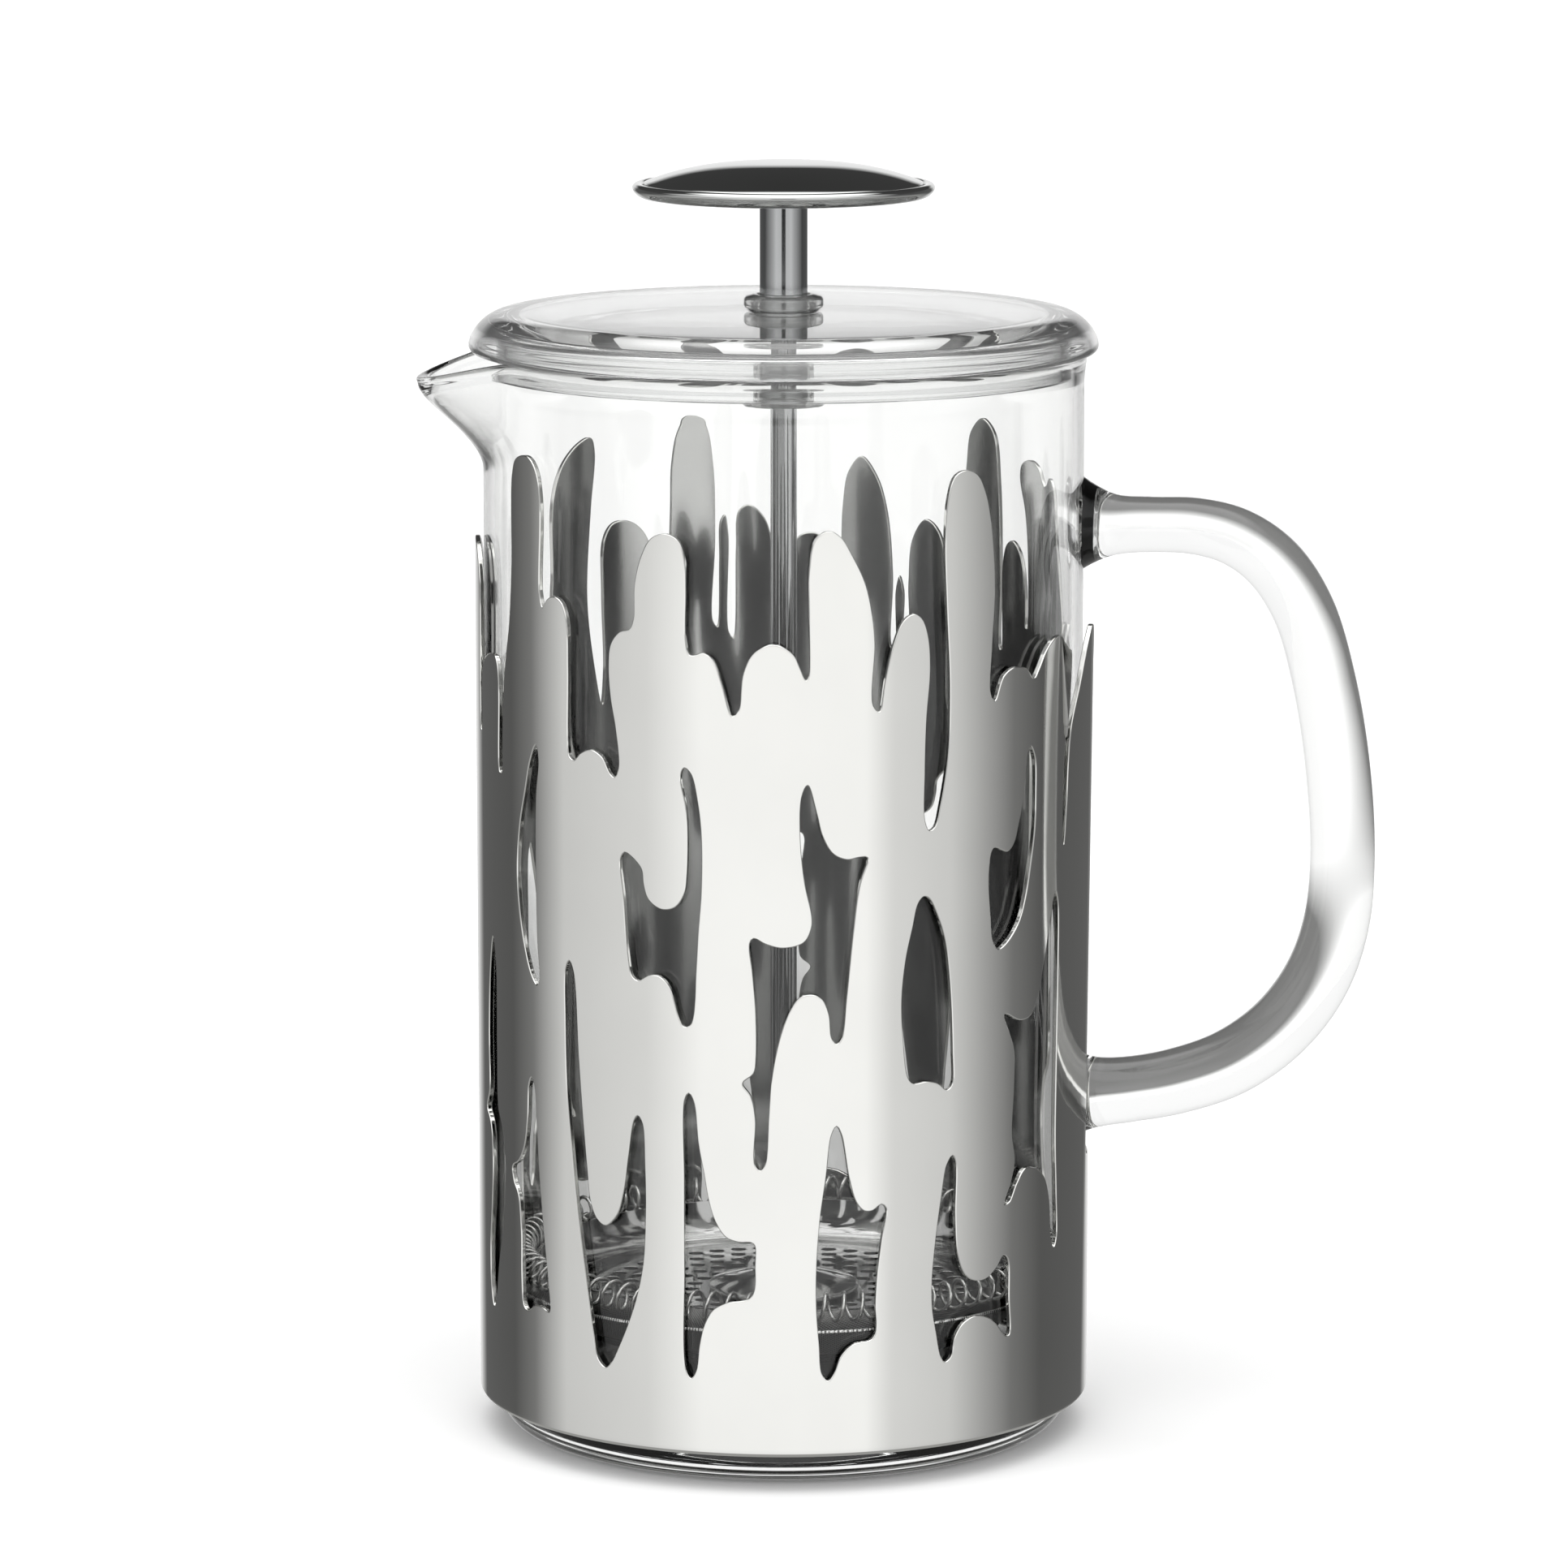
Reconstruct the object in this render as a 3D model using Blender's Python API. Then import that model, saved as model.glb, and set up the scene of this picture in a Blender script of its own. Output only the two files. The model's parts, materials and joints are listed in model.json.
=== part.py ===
"""French press: a glass jug with a fused rod handle, a polished steel sleeve cut with a tall bark pattern, a clear lid,
and a plunger whose rod carries a knob on top and a spring-edged filter stack below.
Heights and radii are in millimetres from the table and from the jug's axis. +X is the handle, -X the spout, +Z up."""

import math

import bmesh
import bpy
from mathutils import Vector
from mathutils.geometry import delaunay_2d_cdt

for old in list(bpy.data.objects):
    bpy.data.objects.remove(old)

MM = 0.001
FACETS = 48                     # sides of every large round piece

# ---- driving dimensions, mm ----
SLEEVE_R = 50.0                 # outside of the sleeve
SLEEVE_T = 0.9                  # sheet thickness
SLEEVE_BASE = 7.0               # where the flat sheet starts, above the turned-in lip
LIP_Z = 5.7                     # underside of the turned-in lip
LIP_R = 47.9                    # inner edge of the lip
SLOT_HALF = 10.5                # half-width of the handle slot, degrees
SLOT_Z = 45.0                   # bottom of the handle slot
SPLAY = 1.2                     # how far the blade beside the slot leans out at its tip

GLASS_R = 48.6                  # outside of the jug
GLASS_T = 1.8                   # jug wall
RIM_Z = 177.0                   # jug rim
FLOOR_Z = 8.2                   # inside floor of the jug
SPOUT_HALF = 31.0               # half-width of the spout, degrees
SPOUT_FROM = 157.0              # height where the spout starts to leave the wall
SPOUT_REACH = 10.4              # how far the tip stands out
SPOUT_DROP = 4.3                # how far the tip is below the rim

LID_R = 50.9
LID_TOP = 183.2
SKIRT_R = 46.2
SKIRT_Z = 173.2

BUSH_FLANGE_R, BUSH_R, BUSH_BORE = 6.45, 4.9, 4.25
FERRULE_R, ROD_R = 3.9, 2.15
FERRULE_Z = (172.4, 200.2)
KNOB_R, KNOB_Z, KNOB_TOP = 24.4, 202.8, 207.2

FILTER_R = 45.9                 # outside of the rim spring
SPRING_Z, COIL_R, WIRE_R, COILS = 28.6, 2.2, 0.42, 32
PLATE_Z = 20.6                  # underside of the spring plate
MESH_Z = 19.4                   # underside of the filter cloth at its middle
CROSS_Z = 17.9                  # underside of the cross plate

# ---- the sleeve's cut pattern: degrees round from the handle (-90 is the front, -180 the spout) and height ----
# Outline of the crown, from one side of the handle slot round to the other.
CROWN = [
 # blade K beside the slot
 (-10.5,70),(-10.5,118),(-10.8,130),(-13,133.8),(-16.5,131),(-20,125.3),(-24,118.2),
 (-25.1,106),(-26,99.5),(-26.6,106),(-25.4,118.6),
 # J
 (-25.0,125),(-25.4,131),(-27,133.4),(-30,133.5),(-33.3,131.8),(-35.9,129),(-37.4,127.7),
 # I
 (-39.6,129.5),(-43,130.1),(-46,128.9),(-48.2,125.2),
 # H
 (-49.2,126.5),(-48.9,134),(-48.3,143),(-48.9,151.5),(-50.5,158.2),(-52.5,161.4),(-55,162.2),(-57.5,161.4),(-59,158),(-59.6,151.5),
 (-59.2,141),(-58.5,128),(-58.9,117.5),(-60.5,109.5),(-61.6,106.2),(-62.6,105.7),(-63.5,107.2),
 # G
 (-63.6,115),(-63.3,123.5),(-62.6,131),(-63,136.4),(-64.2,139.3),(-65.9,140.2),(-68,139.2),(-69.9,135.6),(-71.5,130),(-72.6,125.1),(-73.7,126.2),
 # F
 (-73.4,136),(-74,141),(-75.2,145.4),(-77.4,149.5),(-79.8,152.8),(-82,153.7),(-84.4,152.4),(-85.4,148),(-85.4,140),(-85.5,131.2),(-86,130.3),
 # E
 (-86.9,132),(-88.4,134.5),(-91.8,136),(-95.3,134.6),(-97.2,131.6),(-98.1,125.6),(-99.2,124.6),
 # D
 (-101,129.4),(-102.6,133.2),(-104.4,134.4),(-107,134),(-107.8,136.5),(-107.8,144),(-108.1,149.6),(-109.3,152),(-111.6,152.9),(-114.5,152.1),(-116.5,149.2),(-117.8,145),
 (-118.1,139.2),(-119,137.5),(-121,137),(-122.9,135),(-123.4,131.5),(-123,126.5),(-121.9,121.5),(-121.3,115.5),(-122.2,113.8),(-123.2,114.4),
 # bump in the notch
 (-124.9,116.8),(-127.5,117.8),(-130,117),(-131.4,115.8),(-132.6,116.2),
 # C
 (-133,119),(-132.9,130),(-133.3,138.3),(-134.6,140.7),(-136.8,141.4),(-138.7,140.6),(-139.7,139.4),
 # B
 (-140.5,141.5),(-140.3,156.5),(-141.8,161.3),(-144.2,163),(-148.2,162.3),(-149.6,159.5),(-150,145),(-151,136),(-153,128),(-154.2,118),(-154.6,111.2),(-155.6,111.2),
 # A
 (-155.9,126),(-157.2,129.4),(-160.5,129.8),(-164,128.5),(-166.2,126.3),(-166.8,116.8),(-167.8,116.4),
 # Z below the spout
 (-168.4,124),(-168.6,141),(-171.5,145.5),(-178,147),(-184.5,145),(-187.5,139),(-188.5,120),(-189.6,119.8),
 # L1
 (-191,123.5),(-197,127),(-204,125.5),(-209.5,119),(-210.8,108.5),(-212,108.3),
 # R1
 (-213.5,118),(-215.8,135),(-216,148.3),(-218.8,153.9),(-224,157.6),(-227.6,158.4),(-228.6,156),(-227.4,146),(-226.4,131),(-228.7,118),(-230.2,113.2),
 # R2
 (-231,119),(-230.6,132),(-230.9,141),(-233.2,143.6),(-237.5,143.7),(-241.2,141),(-243,134),(-243.5,121),(-244.6,120.6),
 # R3
 (-245.8,128),(-246.7,145),(-247,153),(-248.4,158.5),(-251.1,161.3),(-254.1,159.3),(-255.7,152.5),(-256.1,140),(-255.6,126),(-256.5,125),
 # R4
 (-257,136),(-257.2,143),(-258.1,144),(-258.8,141),(-258.9,124),(-259.8,123),
 # R5
 (-260.4,138),(-260.9,144.5),(-263,145.6),(-266,143.6),(-268.2,137),(-269.2,122),(-270.2,122),
 # R6
 (-271,134),(-273,140.2),(-277,140.6),(-279.6,136),(-280.4,116),(-281.4,115.6),
 # R7
 (-281.6,130),(-282,146),(-283.2,151.5),(-285.8,154),(-289,150.8),(-291.2,145),(-292.4,134),(-292.2,122),(-293,121.5),
 # R8
 (-293.2,131.5),(-294,134),(-294.9,131.5),(-295,124.2),(-295.9,124),
 # R9
 (-296,133),(-296.9,140.5),(-299.8,143.9),(-303,142),(-305,135),(-305.6,112),(-306.8,111.6),
 # R10
 (-308,128),(-309,143),(-309.9,154),(-311,159.5),(-314,161.7),(-317.4,159.5),(-319,151),(-319.6,136),(-319.4,124),(-320,123.4),
 # R11
 (-320.3,138),(-321.6,141.3),(-323.4,142),(-326.2,140),(-328,134.5),(-328.4,128),(-328.9,127.8),
 # R12
 (-329.2,138),(-328,147),(-326,152.5),(-326.5,155),(-329.6,156),(-333.3,155),(-335.3,152.8),(-336.6,152),
 # R13
 (-338.6,153.8),(-341,152.5),(-343.5,144),(-346.5,136),(-349.2,128),(-349.5,116),(-349.5,70),
]

OPEN = dict(
 lens=[(-141.9,117.1),(-143.7,114.4),(-145.4,109.4),(-147.2,104),(-148.3,97),(-147.8,91),(-146.2,85),(-143.8,80),(-142,78.4),(-141.3,79.8),(-141.8,85),(-142.2,97),(-142,109),(-141.2,114.8)],
 u_hole=[(-120,102),(-118.9,101.6),(-116.6,99.6),(-116.2,97.2),(-115.2,94.8),(-112.6,93.4),(-109.9,93.9),(-108.2,96),(-107.7,99),(-107.5,105.5),(-107.8,110),(-108.8,114.8),(-108.1,116.1),(-106.9,115.2),
   (-105.7,111),(-105,105.5),(-105,97),(-105.6,90),(-106,84),(-106.5,77),(-107.2,75.2),(-108.3,74.9),(-109.3,76.5),(-111,81),(-113.1,82.7),(-115.2,82.7),(-117.4,81.7),(-118.6,82.4),(-119.4,85.5),(-120.3,95),(-120.9,100.8)],
 n_hole=[(-85.7,113.7),(-86.7,112),(-87,106),(-86.2,98.5),(-84.9,93),(-85,91),(-86.3,88.8),(-90,87.9),(-93.2,88.5),(-95.4,89.4),(-96.1,88.6),(-95.6,84),(-95,77),(-95,70),(-95.4,67.8),(-97.4,66.2),(-95.9,64.2),(-95.1,60.5),(-95.2,53.3),(-94.2,52.3),(-93.3,53.5),
   (-92.7,60.8),(-92.1,67.5),(-90.5,74.2),(-88.8,78),(-87,80.1),(-84.9,80.5),(-83,79.7),(-81.8,77.4),(-81.3,73.6),(-80.4,72.5),(-79.5,73.4),(-78.5,80.5),(-77.4,90),(-76.2,97.8),(-74.8,102),(-76.3,102.1),(-78.5,101.8),(-81.1,102.8),(-83,105.6),(-84,109)],
 leaf=[(-63.8,95.2),(-64.9,94.2),(-66,90.4),(-67.3,85.5),(-68.1,79),(-67.8,72.5),(-66.9,66.6),(-65.8,65.4),(-63.2,65.5),(-60.7,65),(-58.8,63.8),(-57.7,64.6),(-57.6,70),(-58.2,80.5),(-59.3,87.6),(-60.8,91.6),(-62.8,94.9)],
 hook=[(-38.3,116.9),(-39.2,115.8),(-40.2,109.4),(-41.6,105),(-43,101.8),(-44.7,100.7),(-48.3,101.6),(-49.4,98),(-49,91),(-48.3,86.6),(-47,85.3),(-45,86),(-41.6,89),(-39.6,93),(-38.2,98),(-37,103.5),(-36.7,109),(-37,115)],
 mantle=[(-132.9,83.4),(-133.8,82),(-134,73.6),(-133.6,62.5),(-132.4,53),(-131,43),(-129,32),(-127.3,23.4),(-126.3,19.4),(-124.7,18.3),(-123.3,19.4),(-121.4,22.6),(-119.7,26),(-117.9,30.5),(-116.5,36.2),(-116,44),(-116.1,52),(-116.6,58.8),(-117.5,59.9),(-118.3,58.9),
   (-119.5,53),(-120.6,46.8),(-121.9,43.4),(-124.5,41.4),(-126.5,42.3),(-128,45),(-128.8,50.5),(-129.7,58),(-130.7,68),(-131.9,81.8)],
 flag=[(-107.4,64.2),(-108.2,63),(-108.3,50),(-108.3,36),(-108.1,19.8),(-107.1,18.2),(-106.1,19.6),(-105.5,23.6),(-104.6,27),(-103,29.4),(-100.4,30.7),(-96.2,31.6),(-95.3,33.2),(-95.2,36.5),(-95.5,40.4),(-98.2,40.6),(-100.5,41.3),(-102.4,43.6),(-103.7,47),(-104.6,51.4),(-105.6,56),(-106.5,62.9)],
 boot=[(-80.4,59.2),(-81.3,57.8),(-82.3,51),(-83.4,44),(-84,36),(-84,30),(-83.5,24),(-83,19.4),(-81.9,18.2),(-80.8,19.4),(-79.5,22.2),(-77.3,23.9),(-73.8,24.6),(-73,26),(-73.1,30),(-72.7,35.5),(-71.9,41),(-71.1,45.6),(-72,46.3),(-73.6,45.4),(-75.2,45.4),(-76.7,46.8),(-78,50.5),(-79.5,57.8)],
 saddle=[(-57.6,53),(-58.8,51.6),(-59.9,46.6),(-61.1,39.5),(-61.8,33),(-61.7,28.5),(-60.9,24.6),(-59.9,20.6),(-59,19.6),(-57.7,20.4),(-57.1,23),(-55.3,25.3),(-52.4,26.3),(-49.2,25.7),(-46.9,24.2),(-45,22.2),(-43.7,22),(-43.8,28),(-44.2,34.6),(-45.3,35.2),(-47,33.6),(-49.5,32.1),(-52.2,32),(-54.6,33.2),(-56.3,36.5),(-56.9,43),(-56.9,51.8)],
 fork=[(-143.9,63),(-144.7,61.6),(-145.2,56),(-146.3,51.5),(-148.5,48.6),(-150.8,47.4),(-150.4,45.2),(-148.6,43),(-147.6,37.5),(-147.5,29.5),(-146.8,25),(-145.4,24.5),(-143.1,25.8),(-140.6,25.7),(-138.8,25.4),(-139.1,30),(-140.5,39),(-141.8,49),(-142.4,56),(-143,61.8)],
 west=[(-29.4,92.4),(-31.4,88),(-33.3,82),(-35.8,75.6),(-38,73.3),(-41,73),(-45.3,74.5),(-43.8,71.2),(-42.6,68.5),(-42.6,62),(-43.1,55),(-42.3,50.2),(-43.4,46.8),(-45.1,43.6),(-43.8,43.8),(-41.8,46.5),(-39.4,48.6),(-36,48.2),(-32.9,46.2),(-31.2,42.5),(-30.2,35.6),(-29.2,34),(-28.2,35.4),(-28.4,43),(-28.9,52),(-28.6,66),(-28.2,80),(-28.4,90.5)],
 east=[(-159.7,83.7),(-161.6,78),(-162.7,68),(-162.6,58),(-164.5,54.8),(-162,52.8),(-160.6,47.5),(-161.2,40),(-162.6,32),(-161.9,24.5),(-160.4,22.4),(-159.2,24),(-157.4,30.5),(-154.9,38.5),(-154,47),(-155.2,52.6),(-157.4,56),(-157.9,66),(-158.2,80)],
)

# Each opening is used once on the front and, all but the leaf, once about half a turn on; two are used again on the
# spout side. The ones at the back are turned a little so that few of them line up with those in front.
BACK_TURNS = {
    "lens": -188, "u_hole": -186, "n_hole": -178, "hook": -181, "mantle": -176, "flag": -181,
    "boot": -180, "saddle": -174, "fork": -172, "west": -177, "east": -182,
}
OPENING_TURNS = [(name, 0) for name in OPEN] + list(BACK_TURNS.items()) + [("leaf", -132), ("boot", -118)]


# Each look: colour, metallic, roughness, alpha.
GLASS = ((0.86, 0.9, 0.9), 0, 0.03, 0.35)
CLEAR = ((0.85, 0.87, 0.86), 0, 0.12, 0.5)
STEEL = ((0.78, 0.78, 0.77), 1, 0.08, 1)
SPRING = ((0.66, 0.66, 0.65), 1, 0.2, 1)
CLOTH = ((0.5, 0.5, 0.5), 1, 0.4, 1)


def material(name, look):
    rgb, metallic, roughness, alpha = look
    m = bpy.data.materials.new(name)
    m.use_nodes = True
    shader = m.node_tree.nodes["Principled BSDF"]
    shader.inputs["Base Color"].default_value = (*rgb, 1)
    shader.inputs["Metallic"].default_value = metallic
    shader.inputs["Roughness"].default_value = roughness
    shader.inputs["Alpha"].default_value = alpha
    m.diffuse_color = (*rgb, alpha)
    return m


def finished(name, bm, look, weld=None):
    if weld:
        bmesh.ops.remove_doubles(bm, verts=bm.verts, dist=weld * MM)
    bmesh.ops.recalc_face_normals(bm, faces=bm.faces)
    mesh = bpy.data.meshes.new(name)
    bm.to_mesh(mesh)
    bm.free()
    mesh.shade_smooth()
    mesh.set_sharp_from_angle(angle=math.radians(32))
    mesh.materials.append(material(name, look))
    obj = bpy.data.objects.new(name, mesh)
    bpy.context.scene.collection.objects.link(obj)
    return obj


def ring_points(profile, sides, shape=None):
    """One ring of points per profile point; shape moves a point (r, angle, z) before it is placed."""
    rings = []
    for k, (r, z) in enumerate(profile):
        ring = []
        for i in range(sides if r > 0 else 1):
            a = 2 * math.pi * i / sides
            rr, zz = shape(r, a, z, k) if shape else (r, z)
            ring.append((rr * math.cos(a), rr * math.sin(a), zz))
        rings.append(ring)
    return rings


def turned(name, profile, look, sides=FACETS, shape=None, ring=True):
    """A solid of revolution. ring: the profile is a closed loop; otherwise it runs from axis to axis."""
    bm = bmesh.new()
    rings = [[bm.verts.new(Vector(p) * MM) for p in pts] for pts in ring_points(profile, sides, shape)]
    pairs = list(zip(rings, rings[1:] + rings[:1])) if ring else list(zip(rings, rings[1:]))
    for low, high in pairs:
        for i in range(sides):
            j = (i + 1) % sides
            quad = [low[i % len(low)], low[j % len(low)], high[j % len(high)], high[i % len(high)]]
            corners = list(dict.fromkeys(quad))
            if len(corners) > 2:
                bm.faces.new(corners)
    return finished(name, bm, look)


def curve_through(points, closed, step=0.5):
    """Centripetal spline through the points."""
    out, n = [], len(points)
    for i in range(n if closed else n - 1):
        p1, p2 = points[i], points[(i + 1) % n]
        p0 = points[i - 1] if closed or i else (2 * p1[0] - p2[0], 2 * p1[1] - p2[1])
        p3 = points[(i + 2) % n] if closed or i + 2 < n else (2 * p2[0] - p1[0], 2 * p2[1] - p1[1])
        t0 = 0.0
        t1 = t0 + max(math.dist(p0, p1), 1e-6) ** 0.5
        t2 = t1 + max(math.dist(p1, p2), 1e-6) ** 0.5
        t3 = t2 + max(math.dist(p2, p3), 1e-6) ** 0.5
        for j in range(max(1, math.ceil(math.dist(p1, p2) / step))):
            t = t1 + (t2 - t1) * j / max(1, math.ceil(math.dist(p1, p2) / step))

            def mix(a, b, ta, tb):
                w = (t - ta) / (tb - ta)
                return (a[0] + (b[0] - a[0]) * w, a[1] + (b[1] - a[1]) * w)

            a1, a2, a3 = mix(p0, p1, t0, t1), mix(p1, p2, t1, t2), mix(p2, p3, t2, t3)
            out.append(mix(mix(a1, a2, t0, t2), mix(a2, a3, t1, t3), t1, t2))
    if not closed:
        out.append(points[-1])
    return out


def thinned(line, off):
    """The fewest of these points that stay within off of the whole line."""
    if len(line) < 3:
        return line
    (x0, y0), (x1, y1) = line[0], line[-1]
    length = math.dist(line[0], line[-1])
    far, where = 0.0, 0
    for i, (x, y) in enumerate(line[1:-1], 1):
        d = abs((x1 - x0) * (y - y0) - (y1 - y0) * (x - x0)) / length if length > 1e-9 else math.dist((x, y), line[0])
        if d > far:
            far, where = d, i
    if far <= off:
        return [line[0], line[-1]]
    return thinned(line[: where + 1], off)[:-1] + thinned(line[where:], off)


def thinned_loop(line, off):
    half = len(line) // 2
    return thinned(line[: half + 1], off)[:-1] + thinned(line[half:] + line[:1], off)[:-1]


def inside(p, loops):
    x, y = p
    odd = False
    for loop in loops:
        for (x0, y0), (x1, y1) in zip(loop, loop[1:] + loop[:1]):
            if (y0 > y) != (y1 > y) and x < x0 + (x1 - x0) * (y - y0) / (y1 - y0):
                odd = not odd
    return odd


def sheet_mesh(name, loops, creases, place, look, skip=lambda a, b: False, more=None, weld=None):
    """A thin sheet with the outline loops[0] and the holes loops[1:], triangulated flat with edges along the creases.
    place(x, y, side) puts a flat point on side 0 or 1 of the formed sheet. An edge that skip names gets no wall."""
    verts, edges = [], []
    for loop in loops:
        start = len(verts)
        verts += loop
        edges += [(start + i, start + (i + 1) % len(loop)) for i in range(len(loop))]
    for line, closed in creases:
        start = len(verts)
        verts += line
        edges += [(start + i, start + i + 1) for i in range(len(line) - 1)]
        if closed:
            edges.append((len(verts) - 1, start))
    flat, _, faces, *_ = delaunay_2d_cdt([Vector(v) for v in verts], edges, [], 0, 1e-4)
    keep = []
    for f in faces:
        c = sum((flat[i] for i in f), Vector((0, 0))) / len(f)
        area = (flat[f[1]] - flat[f[0]]).cross(flat[f[2]] - flat[f[0]])
        if abs(area) > 1e-7 and inside(c, loops):
            keep.append(list(f) if area > 0 else list(f)[::-1])
    bm = bmesh.new()
    used = sorted({i for f in keep for i in f})
    sides = [{i: bm.verts.new(Vector(place(*flat[i], side)) * MM) for i in used} for side in (0, 1)]
    once = {}
    for f in keep:
        bm.faces.new([sides[0][i] for i in f])
        bm.faces.new([sides[1][i] for i in reversed(f)])
        for a, b in zip(f, f[1:] + f[:1]):
            if (b, a) in once:
                del once[(b, a)]
            else:
                once[(a, b)] = True
    for a, b in once:
        if not skip(flat[a], flat[b]):
            bm.faces.new([sides[0][b], sides[0][a], sides[1][a], sides[1][b]])
    if more:
        more(bm)
    return finished(name, bm, look, weld)


# ---- glass jug with its spout and its fused handle ----
def spout(r, a, z, k):
    """Pulls the wall out and the rim down towards the tip."""
    off = abs((math.degrees(a) - 180 + 180) % 360 - 180)
    if z <= SPOUT_FROM or off >= SPOUT_HALF:
        return r, z
    across = math.cos(math.pi / 2 * off / SPOUT_HALF) ** 2
    up = (z - SPOUT_FROM) / (RIM_Z - SPOUT_FROM)
    reach = min(max(1.25 * (up - 0.04), 0), 1)
    return r + SPOUT_REACH * across * reach * reach * (3 - 2 * reach), z - SPOUT_DROP * across * up ** 3


r_in = GLASS_R - GLASS_T
jug_profile = [
    (0, 0), (42, 0), (44.6, 0.9), (46.3, 2.8), (47.2, 5.4), (47.9, 9.0), (48.5, 13.5),
    (GLASS_R, 20), (GLASS_R, SPOUT_FROM), (GLASS_R, 161.5), (GLASS_R, 164.7), (GLASS_R, 168), (GLASS_R, 172),
    (GLASS_R + 0.35, 175.8), (GLASS_R, 176.7), (GLASS_R - GLASS_T / 2, RIM_Z), (r_in + 0.1, 176.5), (r_in, 172), (r_in, 168), (r_in, 164.7), (r_in, 161.5),
    (r_in, SPOUT_FROM), (r_in, 16), (r_in - 0.8, 12.2), (r_in - 2.8, 9.6), (r_in - 6, FLOOR_Z), (0, FLOOR_Z),
]
glass_jug = turned("glass_jug", jug_profile, GLASS, shape=spout, ring=False)

# The handle: its middle line in the plane y = 0, then half its thickness in that plane.
HANDLE = [
    (47.6, 148.6, 8.2), (50.4, 148.5, 6.4), (54, 148.4, 4.9), (60, 148.4, 4.5), (67, 148.1, 4.6), (73.5, 146.3, 4.8), (79.5, 142, 5.0), (84.4, 134.5, 5.1),
    (88.0, 122.5, 5.2), (90.4, 108, 5.3), (91.3, 93.5, 5.3), (90.4, 82.5, 5.4), (87.2, 73.2, 5.5), (81.4, 65.3, 5.5), (73.5, 59.5, 5.5),
    (64.5, 56.3, 5.4), (56.5, 54.9, 5.4), (51.5, 54.5, 5.8), (47.6, 54.4, 7.0),
]
HANDLE_HALF_WIDTH = 6.2
SECTION = 16
bm = bmesh.new()
rings = []
for k, (x, z, t) in enumerate(HANDLE):
    before, after = HANDLE[max(k - 1, 0)], HANDLE[min(k + 1, len(HANDLE) - 1)]
    along = Vector((after[0] - before[0], 0, after[1] - before[1])).normalized()
    if k in (0, len(HANDLE) - 1):
        along = Vector((1 if k == 0 else -1, 0, 0))
    out = Vector((0, 1, 0)).cross(along)
    wide = min(max(HANDLE_HALF_WIDTH, t), 8.0)
    rings.append([
        bm.verts.new((Vector((x, 0, z)) + out * (t * math.cos(a)) + Vector((0, wide * math.sin(a), 0))) * MM)
        for a in (2 * math.pi * i / SECTION for i in range(SECTION))
    ])
for low, high in zip(rings, rings[1:]):
    for i in range(SECTION):
        j = (i + 1) % SECTION
        bm.faces.new([low[i], low[j], high[j], high[i]])
bm.faces.new(rings[0])
bm.faces.new(rings[-1])
handle = finished("handle_joiner", bm, GLASS)
handle.hide_render = True
handle.display_type = "WIRE"
fuse = glass_jug.modifiers.new("fused_handle", "BOOLEAN")
fuse.operation = "UNION"
fuse.solver = "EXACT"
fuse.object = handle

# ---- sleeve ----
TURN_MM = math.radians(1) * SLEEVE_R      # flat width of one degree
LINE = 360 / FACETS                       # a fold line every facet


def snapped(points):
    """A point nearly on a fold line is put on it."""
    out = []
    for x, z in points:
        near = round(x / (LINE * TURN_MM)) * LINE * TURN_MM
        p = (near if abs(x - near) < 0.3 else x, z)
        if not out or math.dist(out[-1], p) > 0.05:
            out.append(p)
    return out


crown = thinned(curve_through([(a * TURN_MM, z) for a, z in CROWN], False), 0.18)
slot_foot = [(-SLOT_HALF, 70), (-SLOT_HALF, 50), (-SLOT_HALF + 0.9, 47), (-SLOT_HALF + 2.8, 45.4), (-SLOT_HALF + 5, SLOT_Z), (0, SLOT_Z)]
right_foot = [(a * TURN_MM, z) for a, z in reversed(slot_foot)][:-1]
left_foot = [((-360 - a) * TURN_MM, z) for a, z in slot_foot][1:]
outline = snapped([(0, SLEEVE_BASE)] + right_foot + crown + left_foot + [(-360 * TURN_MM, SLEEVE_BASE)])
loops = [outline]
for name, turn in OPENING_TURNS:
    loop = curve_through([((a + turn) * TURN_MM, z) for a, z in OPEN[name]], True)
    loops.append(snapped(thinned_loop(loop, 0.2)))
folds = [([(-LINE * i * TURN_MM, SLEEVE_BASE - 3), (-LINE * i * TURN_MM, 190)], False) for i in range(1, FACETS)]


def on_facets(x, z, side):
    turn = x / (LINE * TURN_MM)
    low = math.floor(turn + 1e-6)
    w = min(max(turn - low, 0), 1)
    r = SLEEVE_R - (SLEEVE_T if side else 0)
    degrees = x / TURN_MM
    if z > 95 and -25.6 < degrees < 0:
        r += SPLAY * ((z - 95) / 39) ** 2
    a0, a1 = math.radians(LINE * low), math.radians(LINE * (low + 1))
    return (
        r * (math.cos(a0) * (1 - w) + math.cos(a1) * w),
        r * (math.sin(a0) * (1 - w) + math.sin(a1) * w),
        z,
    )


LIP = [
    (SLEEVE_R, SLEEVE_BASE), (SLEEVE_R - 0.25, 6.15), (SLEEVE_R - 0.9, LIP_Z), (LIP_R, LIP_Z),
    (LIP_R, LIP_Z + 0.8), (SLEEVE_R - SLEEVE_T - 0.35, LIP_Z + 0.85), (SLEEVE_R - SLEEVE_T, SLEEVE_BASE),
]


def lip(bm):
    rings = [[bm.verts.new(Vector(p) * MM) for p in pts] for pts in ring_points(LIP, FACETS)]
    for low, high in zip(rings, rings[1:]):
        for i in range(FACETS):
            j = (i + 1) % FACETS
            bm.faces.new([low[i], low[j], high[j], high[i]])


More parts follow.
